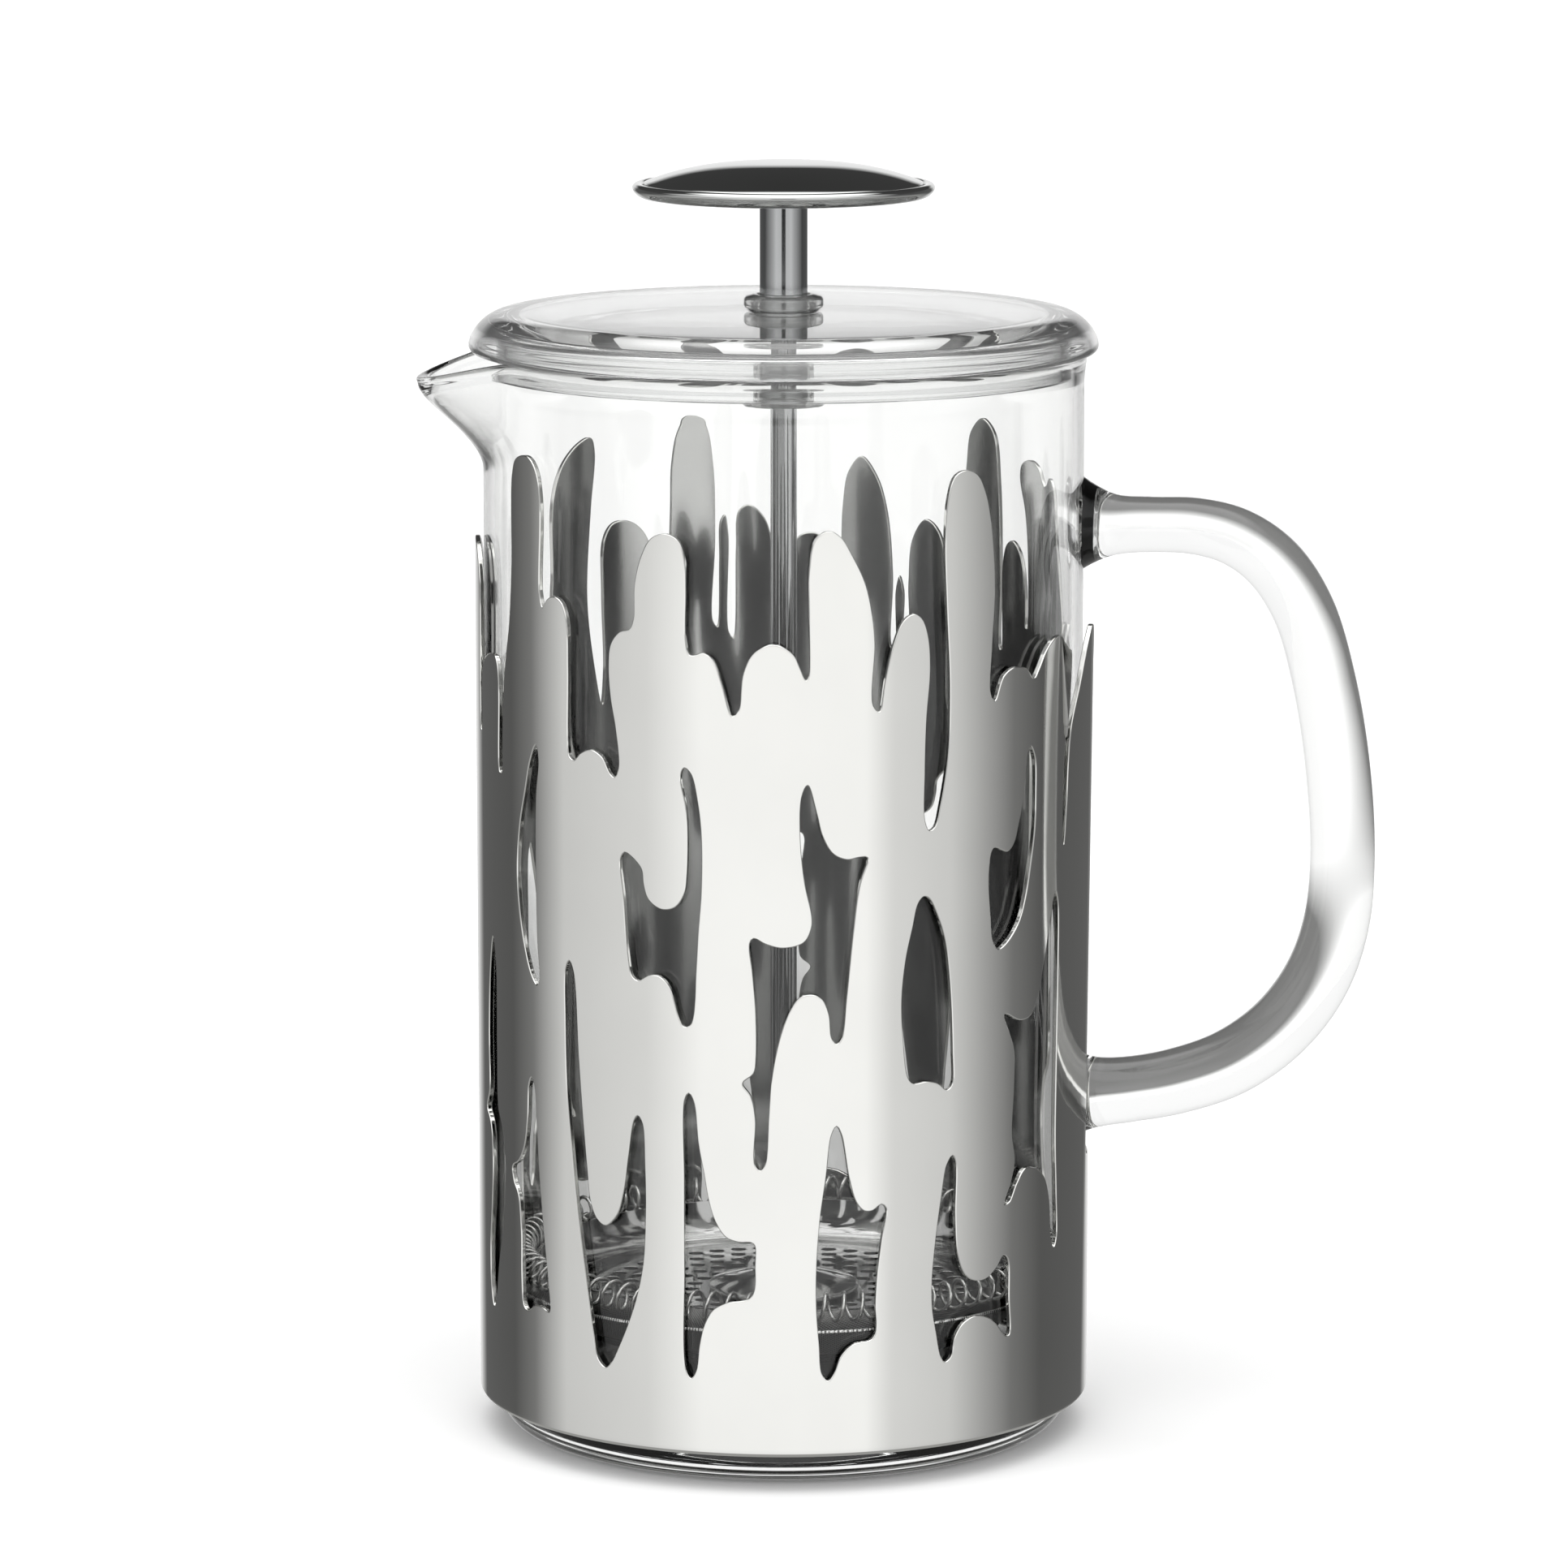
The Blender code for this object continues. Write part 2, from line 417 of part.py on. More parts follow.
def open_edge(a, b):
    at_seam = abs(a.x - b.x) < 1e-3 and (abs(a.x) < 1e-3 or abs(a.x + 360 * TURN_MM) < 1e-3)
    at_base = abs(a.y - SLEEVE_BASE) < 1e-3 and abs(b.y - SLEEVE_BASE) < 1e-3
    return at_seam or at_base


sheet_mesh("bark_sleeve", loops, folds, on_facets, STEEL, open_edge, lip, weld=0.002)

# ---- lid, bushing and the ring that keeps the bushing in the lid ----
turned("lid", [
    (5.3, 181.0), (5.3, LID_TOP), (44.5, LID_TOP - 0.05), (46.9, LID_TOP - 0.45), (48.6, 181.8), (50.1, 180.1), (LID_R, 178.4),
    (50.6, 177.3), (50.0, 176.9), (49.4, 177.1), (48.9, 177.5), (47.1, 177.4), (SKIRT_R, 175.6), (SKIRT_R, 173.7), (45.5, SKIRT_Z), (44.8, 173.7),
    (44.6, 179.2), (42.4, 181.0),
], GLASS)
turned("lid_bushing", [
    (BUSH_R, 169.3), (BUSH_R, 183.6), (5.9, 183.6), (BUSH_FLANGE_R, 184.1), (BUSH_FLANGE_R, 185.3), (5.9, 185.9), (BUSH_BORE, 185.9), (BUSH_BORE, 171.9), (2.5, 171.9), (2.5, 169.3),
], CLEAR, sides=20)
turned("bushing_ring", [(5.2, 169.6), (6.2, 169.6), (6.6, 170.1), (6.6, 171.2), (6.2, 171.7), (5.2, 171.7)], CLEAR, sides=20)

# ---- plunger: knob, ferrule, rod and its collar ----
turned("knob_cap", [
    (0, KNOB_TOP), (8, 206.98), (12, 206.54), (15, 205.99), (18, 205.22), (20, 204.57), (22, 203.8), (22.45, 203.6),
    (22.15, 203.25), (19, 204.1), (12, 205.5), (0, 206.1),
], STEEL, sides=40, ring=False)
turned("knob_base", [
    (0, 205.75), (12, 205.15), (19, 203.75), (22.0, 202.9), (22.6, 203.1), (22.9, 203.4), (23.4, 203.6), (24.0, 203.4), (KNOB_R, KNOB_Z),
    (24.3, KNOB_Z - 0.6), (23.7, KNOB_Z - 1.0), (22.3, KNOB_Z - 1.3), (4.3, KNOB_Z - 2.2), (2.5, KNOB_Z - 2.2), (2.5, 204.2), (0, 204.2),
], STEEL, sides=40, ring=False)
turned("rod_ferrule", [
    (2.5, FERRULE_Z[0]), (3.5, FERRULE_Z[0]), (FERRULE_R, FERRULE_Z[0] + 0.4), (FERRULE_R, FERRULE_Z[1]), (2.5, FERRULE_Z[1]),
], STEEL, sides=20)
turned("plunger_rod", [(0, 14.6), (1.8, 14.6), (ROD_R, 15.0), (ROD_R, 203.5), (1.8, 203.8), (0, 203.8)], STEEL, sides=16, ring=False)
turned("rod_collar", [(2.5, 21.8), (12.0, 21.8), (12.4, 22.1), (12.0, 22.6), (5.0, 24.6), (4.1, 25.4), (3.9, 27.0), (3.6, 27.3), (2.5, 27.3)], STEEL, sides=24)


# ---- filter stack: spring plate, rim spring, filter cloth, cross plate and its threaded hub ----
def circle(r, n, centre=(0, 0), turn=0.0):
    return [(centre[0] + r * math.cos(2 * math.pi * (i + turn) / n), centre[1] + r * math.sin(2 * math.pi * (i + turn) / n)) for i in range(n)]


def hole_ring(count, at, r, n=6):
    return [circle(r, n, (at * math.cos(2 * math.pi * i / count), at * math.sin(2 * math.pi * i / count))) for i in range(count)]


def rise(r):
    """Height of the spring plate's turned-up rim."""
    w = min(max((r - 33.5) / 6.8, 0), 1)
    return 6.2 * w * w


sheet_mesh(
    "spring_plate",
    [circle(40.3, FACETS), circle(2.6, 16)] + hole_ring(12, 18.0, 2.3) + hole_ring(18, 26.5, 2.3),
    [(circle(r, FACETS), True) for r in (33.5, 36.2, 38.4)],
    lambda x, y, side: (x, y, PLATE_Z + rise(math.hypot(x, y)) + (0.8 if side else 0)),
    STEEL,
)

bm = bmesh.new()
per_turn, sides = 7, 3
steps = COILS * per_turn
path = []
for k in range(steps):
    round_, wind = 2 * math.pi * k / steps, 2 * math.pi * k / per_turn
    r = FILTER_R - WIRE_R - COIL_R + COIL_R * math.cos(wind)
    path.append(Vector((r * math.cos(round_), r * math.sin(round_), SPRING_Z + COIL_R * math.sin(wind))))
wire = []
for k, p in enumerate(path):
    along = (path[(k + 1) % steps] - path[k - 1]).normalized()
    a = 2 * math.pi * k / steps
    core = Vector(((FILTER_R - WIRE_R - COIL_R) * math.cos(a), (FILTER_R - WIRE_R - COIL_R) * math.sin(a), SPRING_Z))
    out = (p - core).normalized()
    out = (out - along * out.dot(along)).normalized()
    side = along.cross(out)
    wire.append([bm.verts.new((p + out * (WIRE_R * math.cos(t)) + side * (WIRE_R * math.sin(t))) * MM) for t in (2 * math.pi * i / sides for i in range(sides))])
for low, high in zip(wire, wire[1:] + wire[:1]):
    for i in range(sides):
        j = (i + 1) % sides
        bm.faces.new([low[i], low[j], high[j], high[i]])
finished("rim_spring", bm, SPRING)

turned("filter_cloth", [
    (2.6, MESH_Z), (37.0, MESH_Z), (42.0, MESH_Z + 1.7), (45.8, MESH_Z + 5.6), (45.5, MESH_Z + 6.1),
    (41.6, MESH_Z + 2.4), (36.8, MESH_Z + 0.6), (2.6, MESH_Z + 0.6),
], CLOTH)


def window(centre, half, low, high, n=4):
    """A rounded sector cut between two radii."""
    a0, a1 = centre - half, centre + half
    pts = [(high, a0 + (a1 - a0) * i / n) for i in range(n + 1)] + [(low, a1 - 0.06 - (a1 - a0 - 0.12) * i / 2) for i in range(3)]
    return [(r * math.cos(a), r * math.sin(a)) for r, a in pts]


sheet_mesh(
    "cross_plate",
    [circle(36.5, FACETS), circle(5.3, 16)] + [window(math.radians(60 * i), 0.37, 11.5, 31.5) for i in range(6)],
    [],
    lambda x, y, side: (x, y, CROSS_Z + (1.0 if side else 0)),
    STEEL,
)
turned("cross_hub", [
    (2.5, 15.2), (5.6, 15.2), (6.2, 15.7), (6.2, 17.5), (5.0, 17.5), (5.0, 19.0), (2.5, 19.0),
], STEEL, sides=20)
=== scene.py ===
"""Looks for the french press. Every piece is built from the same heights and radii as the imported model, in fine mesh,
and stands for the node of the same name. Lengths are millimetres until MM turns them into metres.
+X is the handle, -X the spout, -Y the front, +Z up."""

import json
import math

import bmesh
import bpy
import numpy as np
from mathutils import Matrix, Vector
from mathutils.geometry import delaunay_2d_cdt

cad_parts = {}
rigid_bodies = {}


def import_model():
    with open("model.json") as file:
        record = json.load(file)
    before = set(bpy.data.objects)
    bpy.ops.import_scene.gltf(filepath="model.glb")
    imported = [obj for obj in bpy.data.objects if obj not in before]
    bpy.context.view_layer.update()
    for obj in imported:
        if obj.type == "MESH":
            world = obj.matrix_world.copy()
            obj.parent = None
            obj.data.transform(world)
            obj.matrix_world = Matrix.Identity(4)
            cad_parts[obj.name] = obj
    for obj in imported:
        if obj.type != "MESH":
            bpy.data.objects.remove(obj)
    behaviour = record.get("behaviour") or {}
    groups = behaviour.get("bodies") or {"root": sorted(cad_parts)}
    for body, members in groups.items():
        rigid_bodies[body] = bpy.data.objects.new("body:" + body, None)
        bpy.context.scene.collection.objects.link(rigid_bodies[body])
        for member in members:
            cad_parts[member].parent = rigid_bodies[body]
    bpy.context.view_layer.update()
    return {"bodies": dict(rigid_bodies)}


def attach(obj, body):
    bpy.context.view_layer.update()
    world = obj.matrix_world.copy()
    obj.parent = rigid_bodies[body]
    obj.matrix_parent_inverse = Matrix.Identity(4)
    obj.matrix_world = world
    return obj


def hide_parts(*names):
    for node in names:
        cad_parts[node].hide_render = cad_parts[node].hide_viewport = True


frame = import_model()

MM = 0.001

# Sleeve. Above SPLAY_Z, from the slot round to SPLAY_END degrees, the blade springs out by SPLAY over SPLAY_RISE.
SLEEVE_R, SLEEVE_T, SLEEVE_BASE = 50.0, 0.9, 7.0
SLOT_HALF, SLOT_Z = 10.5, 45.0
SPLAY, SPLAY_Z, SPLAY_RISE, SPLAY_END = 1.2, 95, 39, -25.6
TURN_MM = math.radians(1) * SLEEVE_R
# Its cut edges are rounded by EDGE in EDGE_STEPS. The sheet is rolled round in FOLDS flats, which end ABOVE_CROWN.
EDGE, EDGE_STEPS, FOLDS, ABOVE_CROWN = 0.2, 2, 144, 190

# Jug, with its spout and handle. The handle's points are x, z and half its thickness.
GLASS_R, GLASS_T, RIM_Z, FLOOR_Z = 48.6, 1.8, 177.0, 8.2
GLASS_IN = GLASS_R - GLASS_T
SPOUT_HALF, SPOUT_FROM, SPOUT_REACH, SPOUT_DROP = 31.0, 157.0, 10.4, 4.3
HANDLE = [
    (47.6, 148.6, 8.2), (50.4, 148.5, 6.4), (54, 148.4, 4.9), (60, 148.4, 4.5), (67, 148.1, 4.6), (73.5, 146.3, 4.8),
    (79.5, 142, 5.0), (84.4, 134.5, 5.1), (88.0, 122.5, 5.2), (90.4, 108, 5.3), (91.3, 93.5, 5.3), (90.4, 82.5, 5.4),
    (87.2, 73.2, 5.5), (81.4, 65.3, 5.5), (73.5, 59.5, 5.5), (64.5, 56.3, 5.4), (56.5, 54.9, 5.4), (51.5, 54.5, 5.8),
    (47.6, 54.4, 7.0),
]
HANDLE_HALF_WIDTH, FLARE_HALF_WIDTH, HANDLE_SIDES = 6.2, 8.0, 40

# Lid, knob and filter.
LID_TOP, SKIRT_R, SKIRT_Z = 183.2, 46.2, 173.2
KNOB_TOP = 207.2
PLATE_Z, MESH_Z, CROSS_Z = 20.6, 19.4, 17.9
FILTER_R, SPRING_Z, COIL_R = 45.9, 28.6, 2.2
COILS, COIL_STEPS, WIRE_SIDES, WIRE_R = 92, 18, 8, 0.33

# Stage: the floor's half size in metres, the tones of the table, including those of the light painted on it, and of the
# room, and the camera.
GROUND_HALF = 14
TABLE_GREY, TABLE_PALE = (0.19, 0.19, 0.187), (0.45, 0.45, 0.445)
TABLE_PAINTED_LIGHT_MIDDLE, TABLE_WHITE = (0.5, 0.5, 0.495), (0.93, 0.93, 0.925)
UNDERNEATH, OVERHEAD, SWEEP_WHITE = (0.30, 0.30, 0.295), (1.7, 1.7, 1.7), (0.8, 0.8, 0.8)
STUDIO_STRENGTH = 1.25
CAMERA_AT, CAMERA_TILT, CAMERA_LENS = (0.00006, -1.14278, 0.29597), 80.548, 163.06

# ---- the sleeve's cut pattern: degrees round from the handle (-90 is the front, -180 the spout) and height ----

# Outline of the crown, from one side of the handle slot round to the other.
CROWN = [
    # blade K beside the slot
    (-10.5, 70), (-10.5, 118), (-10.8, 130), (-13, 133.8), (-16.5, 131), (-20, 125.3), (-24, 118.2),
    (-25.1, 106), (-26, 99.5), (-26.6, 106), (-25.4, 118.6),
    # J
    (-25.0, 125), (-25.4, 131), (-27, 133.4), (-30, 133.5), (-33.3, 131.8), (-35.9, 129), (-37.4, 127.7),
    # I
    (-39.6, 129.5), (-43, 130.1), (-46, 128.9), (-48.2, 125.2),
    # H
    (-49.2, 126.5), (-48.9, 134), (-48.3, 143), (-48.9, 151.5), (-50.5, 158.2), (-52.5, 161.4), (-55, 162.2),
    (-57.5, 161.4), (-59, 158), (-59.6, 151.5),
    (-59.2, 141), (-58.5, 128), (-58.9, 117.5), (-60.5, 109.5), (-61.6, 106.2), (-62.6, 105.7), (-63.5, 107.2),
    # G
    (-63.6, 115), (-63.3, 123.5), (-62.6, 131), (-63, 136.4), (-64.2, 139.3), (-65.9, 140.2), (-68, 139.2),
    (-69.9, 135.6), (-71.5, 130), (-72.6, 125.1), (-73.7, 126.2),
    # F
    (-73.4, 136), (-74, 141), (-75.2, 145.4), (-77.4, 149.5), (-79.8, 152.8), (-82, 153.7), (-84.4, 152.4),
    (-85.4, 148), (-85.4, 140), (-85.5, 131.2), (-86, 130.3),
    # E
    (-86.9, 132), (-88.4, 134.5), (-91.8, 136), (-95.3, 134.6), (-97.2, 131.6), (-98.1, 125.6), (-99.2, 124.6),
    # D
    (-101, 129.4), (-102.6, 133.2), (-104.4, 134.4), (-107, 134), (-107.8, 136.5), (-107.8, 144), (-108.1, 149.6),
    (-109.3, 152), (-111.6, 152.9), (-114.5, 152.1), (-116.5, 149.2), (-117.8, 145),
    (-118.1, 139.2), (-119, 137.5), (-121, 137), (-122.9, 135), (-123.4, 131.5), (-123, 126.5), (-121.9, 121.5),
    (-121.3, 115.5), (-122.2, 113.8), (-123.2, 114.4),
    # bump in the notch
    (-124.9, 116.8), (-127.5, 117.8), (-130, 117), (-131.4, 115.8), (-132.6, 116.2),
    # C
    (-133, 119), (-132.9, 130), (-133.3, 138.3), (-134.6, 140.7), (-136.8, 141.4), (-138.7, 140.6), (-139.7, 139.4),
    # B
    (-140.5, 141.5), (-140.3, 156.5), (-141.8, 161.3), (-144.2, 163), (-148.2, 162.3), (-149.6, 159.5), (-150, 145),
    (-151, 136), (-153, 128), (-154.2, 118), (-154.6, 111.2), (-155.6, 111.2),
    # A
    (-155.9, 126), (-157.2, 129.4), (-160.5, 129.8), (-164, 128.5), (-166.2, 126.3), (-166.8, 116.8),
    (-167.8, 116.4),
    # Z below the spout
    (-168.4, 124), (-168.6, 141), (-171.5, 145.5), (-178, 147), (-184.5, 145), (-187.5, 139), (-188.5, 120),
    (-189.6, 119.8),
    # L1
    (-191, 123.5), (-197, 127), (-204, 125.5), (-209.5, 119), (-210.8, 108.5), (-212, 108.3),
    # R1
    (-213.5, 118), (-215.8, 135), (-216, 148.3), (-218.8, 153.9), (-224, 157.6), (-227.6, 158.4), (-228.6, 156),
    (-227.4, 146), (-226.4, 131), (-228.7, 118), (-230.2, 113.2),
    # R2
    (-231, 119), (-230.6, 132), (-230.9, 141), (-233.2, 143.6), (-237.5, 143.7), (-241.2, 141), (-243, 134),
    (-243.5, 121), (-244.6, 120.6),
    # R3
    (-245.8, 128), (-246.7, 145), (-247, 153), (-248.4, 158.5), (-251.1, 161.3), (-254.1, 159.3), (-255.7, 152.5),
    (-256.1, 140), (-255.6, 126), (-256.5, 125),
    # R4
    (-257, 136), (-257.2, 143), (-258.1, 144), (-258.8, 141), (-258.9, 124), (-259.8, 123),
    # R5
    (-260.4, 138), (-260.9, 144.5), (-263, 145.6), (-266, 143.6), (-268.2, 137), (-269.2, 122), (-270.2, 122),
    # R6
    (-271, 134), (-273, 140.2), (-277, 140.6), (-279.6, 136), (-280.4, 116), (-281.4, 115.6),
    # R7
    (-281.6, 130), (-282, 146), (-283.2, 151.5), (-285.8, 154), (-289, 150.8), (-291.2, 145), (-292.4, 134),
    (-292.2, 122), (-293, 121.5),
    # R8
    (-293.2, 131.5), (-294, 134), (-294.9, 131.5), (-295, 124.2), (-295.9, 124),
    # R9
    (-296, 133), (-296.9, 140.5), (-299.8, 143.9), (-303, 142), (-305, 135), (-305.6, 112), (-306.8, 111.6),
    # R10
    (-308, 128), (-309, 143), (-309.9, 154), (-311, 159.5), (-314, 161.7), (-317.4, 159.5), (-319, 151),
    (-319.6, 136), (-319.4, 124), (-320, 123.4),
    # R11
    (-320.3, 138), (-321.6, 141.3), (-323.4, 142), (-326.2, 140), (-328, 134.5), (-328.4, 128), (-328.9, 127.8),
    # R12
    (-329.2, 138), (-328, 147), (-326, 152.5), (-326.5, 155), (-329.6, 156), (-333.3, 155), (-335.3, 152.8),
    (-336.6, 152),
    # R13
    (-338.6, 153.8), (-341, 152.5), (-343.5, 144), (-346.5, 136), (-349.2, 128), (-349.5, 116), (-349.5, 70),
]

OPEN = {
    "lens": [
        (-141.9, 117.1), (-143.7, 114.4), (-145.4, 109.4), (-147.2, 104), (-148.3, 97), (-147.8, 91), (-146.2, 85),
        (-143.8, 80), (-142, 78.4), (-141.3, 79.8), (-141.8, 85), (-142.2, 97), (-142, 109), (-141.2, 114.8),
    ],
    "u_hole": [
        (-120, 102), (-118.9, 101.6), (-116.6, 99.6), (-116.2, 97.2), (-115.2, 94.8), (-112.6, 93.4),
        (-109.9, 93.9), (-108.2, 96), (-107.7, 99), (-107.5, 105.5), (-107.8, 110), (-108.8, 114.8),
        (-108.1, 116.1), (-106.9, 115.2), (-105.7, 111), (-105, 105.5), (-105, 97), (-105.6, 90), (-106, 84),
        (-106.5, 77), (-107.2, 75.2), (-108.3, 74.9), (-109.3, 76.5), (-111, 81), (-113.1, 82.7), (-115.2, 82.7),
        (-117.4, 81.7), (-118.6, 82.4), (-119.4, 85.5), (-120.3, 95), (-120.9, 100.8),
    ],
    "n_hole": [
        (-85.7, 113.7), (-86.7, 112), (-87, 106), (-86.2, 98.5), (-84.9, 93), (-85, 91), (-86.3, 88.8), (-90, 87.9),
        (-93.2, 88.5), (-95.4, 89.4), (-96.1, 88.6), (-95.6, 84), (-95, 77), (-95, 70), (-95.4, 67.8),
        (-97.4, 66.2), (-95.9, 64.2), (-95.1, 60.5), (-95.2, 53.3), (-94.2, 52.3), (-93.3, 53.5), (-92.7, 60.8),
        (-92.1, 67.5), (-90.5, 74.2), (-88.8, 78), (-87, 80.1), (-84.9, 80.5), (-83, 79.7), (-81.8, 77.4),
        (-81.3, 73.6), (-80.4, 72.5), (-79.5, 73.4), (-78.5, 80.5), (-77.4, 90), (-76.2, 97.8), (-74.8, 102),
        (-76.3, 102.1), (-78.5, 101.8), (-81.1, 102.8), (-83, 105.6), (-84, 109),
    ],
    "leaf": [
        (-63.8, 95.2), (-64.9, 94.2), (-66, 90.4), (-67.3, 85.5), (-68.1, 79), (-67.8, 72.5), (-66.9, 66.6),
        (-65.8, 65.4), (-63.2, 65.5), (-60.7, 65), (-58.8, 63.8), (-57.7, 64.6), (-57.6, 70), (-58.2, 80.5),
        (-59.3, 87.6), (-60.8, 91.6), (-62.8, 94.9),
    ],
    "hook": [
        (-38.3, 116.9), (-39.2, 115.8), (-40.2, 109.4), (-41.6, 105), (-43, 101.8), (-44.7, 100.7), (-48.3, 101.6),
        (-49.4, 98), (-49, 91), (-48.3, 86.6), (-47, 85.3), (-45, 86), (-41.6, 89), (-39.6, 93), (-38.2, 98),
        (-37, 103.5), (-36.7, 109), (-37, 115),
    ],
    "mantle": [
        (-132.9, 83.4), (-133.8, 82), (-134, 73.6), (-133.6, 62.5), (-132.4, 53), (-131, 43), (-129, 32),
        (-127.3, 23.4), (-126.3, 19.4), (-124.7, 18.3), (-123.3, 19.4), (-121.4, 22.6), (-119.7, 26),
        (-117.9, 30.5), (-116.5, 36.2), (-116, 44), (-116.1, 52), (-116.6, 58.8), (-117.5, 59.9), (-118.3, 58.9),
        (-119.5, 53), (-120.6, 46.8), (-121.9, 43.4), (-124.5, 41.4), (-126.5, 42.3), (-128, 45), (-128.8, 50.5),
        (-129.7, 58), (-130.7, 68), (-131.9, 81.8),
    ],
    "flag": [
        (-107.4, 64.2), (-108.2, 63), (-108.3, 50), (-108.3, 36), (-108.1, 19.8), (-107.1, 18.2), (-106.1, 19.6),
        (-105.5, 23.6), (-104.6, 27), (-103, 29.4), (-100.4, 30.7), (-96.2, 31.6), (-95.3, 33.2), (-95.2, 36.5),
        (-95.5, 40.4), (-98.2, 40.6), (-100.5, 41.3), (-102.4, 43.6), (-103.7, 47), (-104.6, 51.4), (-105.6, 56),
        (-106.5, 62.9),
    ],
    "boot": [
        (-80.4, 59.2), (-81.3, 57.8), (-82.3, 51), (-83.4, 44), (-84, 36), (-84, 30), (-83.5, 24), (-83, 19.4),
        (-81.9, 18.2), (-80.8, 19.4), (-79.5, 22.2), (-77.3, 23.9), (-73.8, 24.6), (-73, 26), (-73.1, 30),
        (-72.7, 35.5), (-71.9, 41), (-71.1, 45.6), (-72, 46.3), (-73.6, 45.4), (-75.2, 45.4), (-76.7, 46.8),
        (-78, 50.5), (-79.5, 57.8),
    ],
    "saddle": [
        (-57.6, 53), (-58.8, 51.6), (-59.9, 46.6), (-61.1, 39.5), (-61.8, 33), (-61.7, 28.5), (-60.9, 24.6),
        (-59.9, 20.6), (-59, 19.6), (-57.7, 20.4), (-57.1, 23), (-55.3, 25.3), (-52.4, 26.3), (-49.2, 25.7),
        (-46.9, 24.2), (-45, 22.2), (-43.7, 22), (-43.8, 28), (-44.2, 34.6), (-45.3, 35.2), (-47, 33.6),
        (-49.5, 32.1), (-52.2, 32), (-54.6, 33.2), (-56.3, 36.5), (-56.9, 43), (-56.9, 51.8),
    ],
    "fork": [
        (-143.9, 63), (-144.7, 61.6), (-145.2, 56), (-146.3, 51.5), (-148.5, 48.6), (-150.8, 47.4), (-150.4, 45.2),
        (-148.6, 43), (-147.6, 37.5), (-147.5, 29.5), (-146.8, 25), (-145.4, 24.5), (-143.1, 25.8), (-140.6, 25.7),
        (-138.8, 25.4), (-139.1, 30), (-140.5, 39), (-141.8, 49), (-142.4, 56), (-143, 61.8),
    ],
    "west": [
        (-29.4, 92.4), (-31.4, 88), (-33.3, 82), (-35.8, 75.6), (-38, 73.3), (-41, 73), (-45.3, 74.5),
        (-43.8, 71.2), (-42.6, 68.5), (-42.6, 62), (-43.1, 55), (-42.3, 50.2), (-43.4, 46.8), (-45.1, 43.6),
        (-43.8, 43.8), (-41.8, 46.5), (-39.4, 48.6), (-36, 48.2), (-32.9, 46.2), (-31.2, 42.5), (-30.2, 35.6),
        (-29.2, 34), (-28.2, 35.4), (-28.4, 43), (-28.9, 52), (-28.6, 66), (-28.2, 80), (-28.4, 90.5),
    ],
    "east": [
        (-159.7, 83.7), (-161.6, 78), (-162.7, 68), (-162.6, 58), (-164.5, 54.8), (-162, 52.8), (-160.6, 47.5),
        (-161.2, 40), (-162.6, 32), (-161.9, 24.5), (-160.4, 22.4), (-159.2, 24), (-157.4, 30.5), (-154.9, 38.5),
        (-154, 47), (-155.2, 52.6), (-157.4, 56), (-157.9, 66), (-158.2, 80),
    ],
}

# Each opening is used once on the front and, all but the leaf, once about half a turn on; two are used again on the
# spout side. The ones at the back are turned a little so that few of them line up with those in front.
BACK_TURNS = {
    "lens": -188, "u_hole": -186, "n_hole": -178, "hook": -181, "mantle": -176, "flag": -181,
    "boot": -180, "saddle": -174, "fork": -172, "west": -177, "east": -182,
}
OPENING_TURNS = [(name, 0) for name in OPEN] + list(BACK_TURNS.items()) + [("leaf", -132), ("boot", -118)]


# ---- shader nodes, for materials and for the world ----
def node(tree, kind, **settings):
    made = tree.nodes.new(kind)
    for key, value in settings.items():
        setattr(made, key, value)
    return made


def put(tree, value, socket):
    """Links another node's output to the socket, or sets the socket to a number or a colour."""
    if isinstance(value, tuple):
        socket.default_value = (*value, 1)
    elif isinstance(value, (int, float)):
        socket.default_value = value
    else:
        tree.links.new(value, socket)


def calculated(tree, operation, *values):
    made = node(tree, "ShaderNodeMath", operation=operation)
    for value, socket in zip(values, made.inputs):
        put(tree, value, socket)
    return made.outputs[0]


def mixed(tree, factor, a, b):
    made = node(tree, "ShaderNodeMix", data_type="RGBA")
    for key, value in (("Factor", factor), ("A", a), ("B", b)):
        put(tree, value, next(i for i in made.inputs if i.name == key and i.enabled))
    return next(o for o in made.outputs if o.enabled)


def ranged(tree, value, low, high, start=0.3, end=0.7):
    made = node(tree, "ShaderNodeMapRange")
    for key, v in (("From Min", start), ("From Max", end), ("To Min", low), ("To Max", high)):
        made.inputs[key].default_value = v
    tree.links.new(value, made.inputs["Value"])
    return made.outputs["Result"]


def ramped(tree, value, stops):
    """A colour ramp; each stop is a place and a colour or a grey."""
    made = node(tree, "ShaderNodeValToRGB")
    elements = made.color_ramp.elements
    while len(elements) < len(stops):
        elements.new(0.5)
    for element, (place, v) in zip(elements, stops):
        element.position = place
        element.color = (*v, 1) if isinstance(v, tuple) else (v, v, v, 1)
    tree.links.new(value, made.inputs["Fac"])
    return made.outputs["Color"]


# ---- materials ----
def new_material(name, **values):
    m = bpy.data.materials.new(name)
    m.use_nodes = True
    shader = m.node_tree.nodes["Principled BSDF"]
    for key, value in values.items():
        shader.inputs[key.replace("_", " ")].default_value = value
    return m, m.node_tree, shader


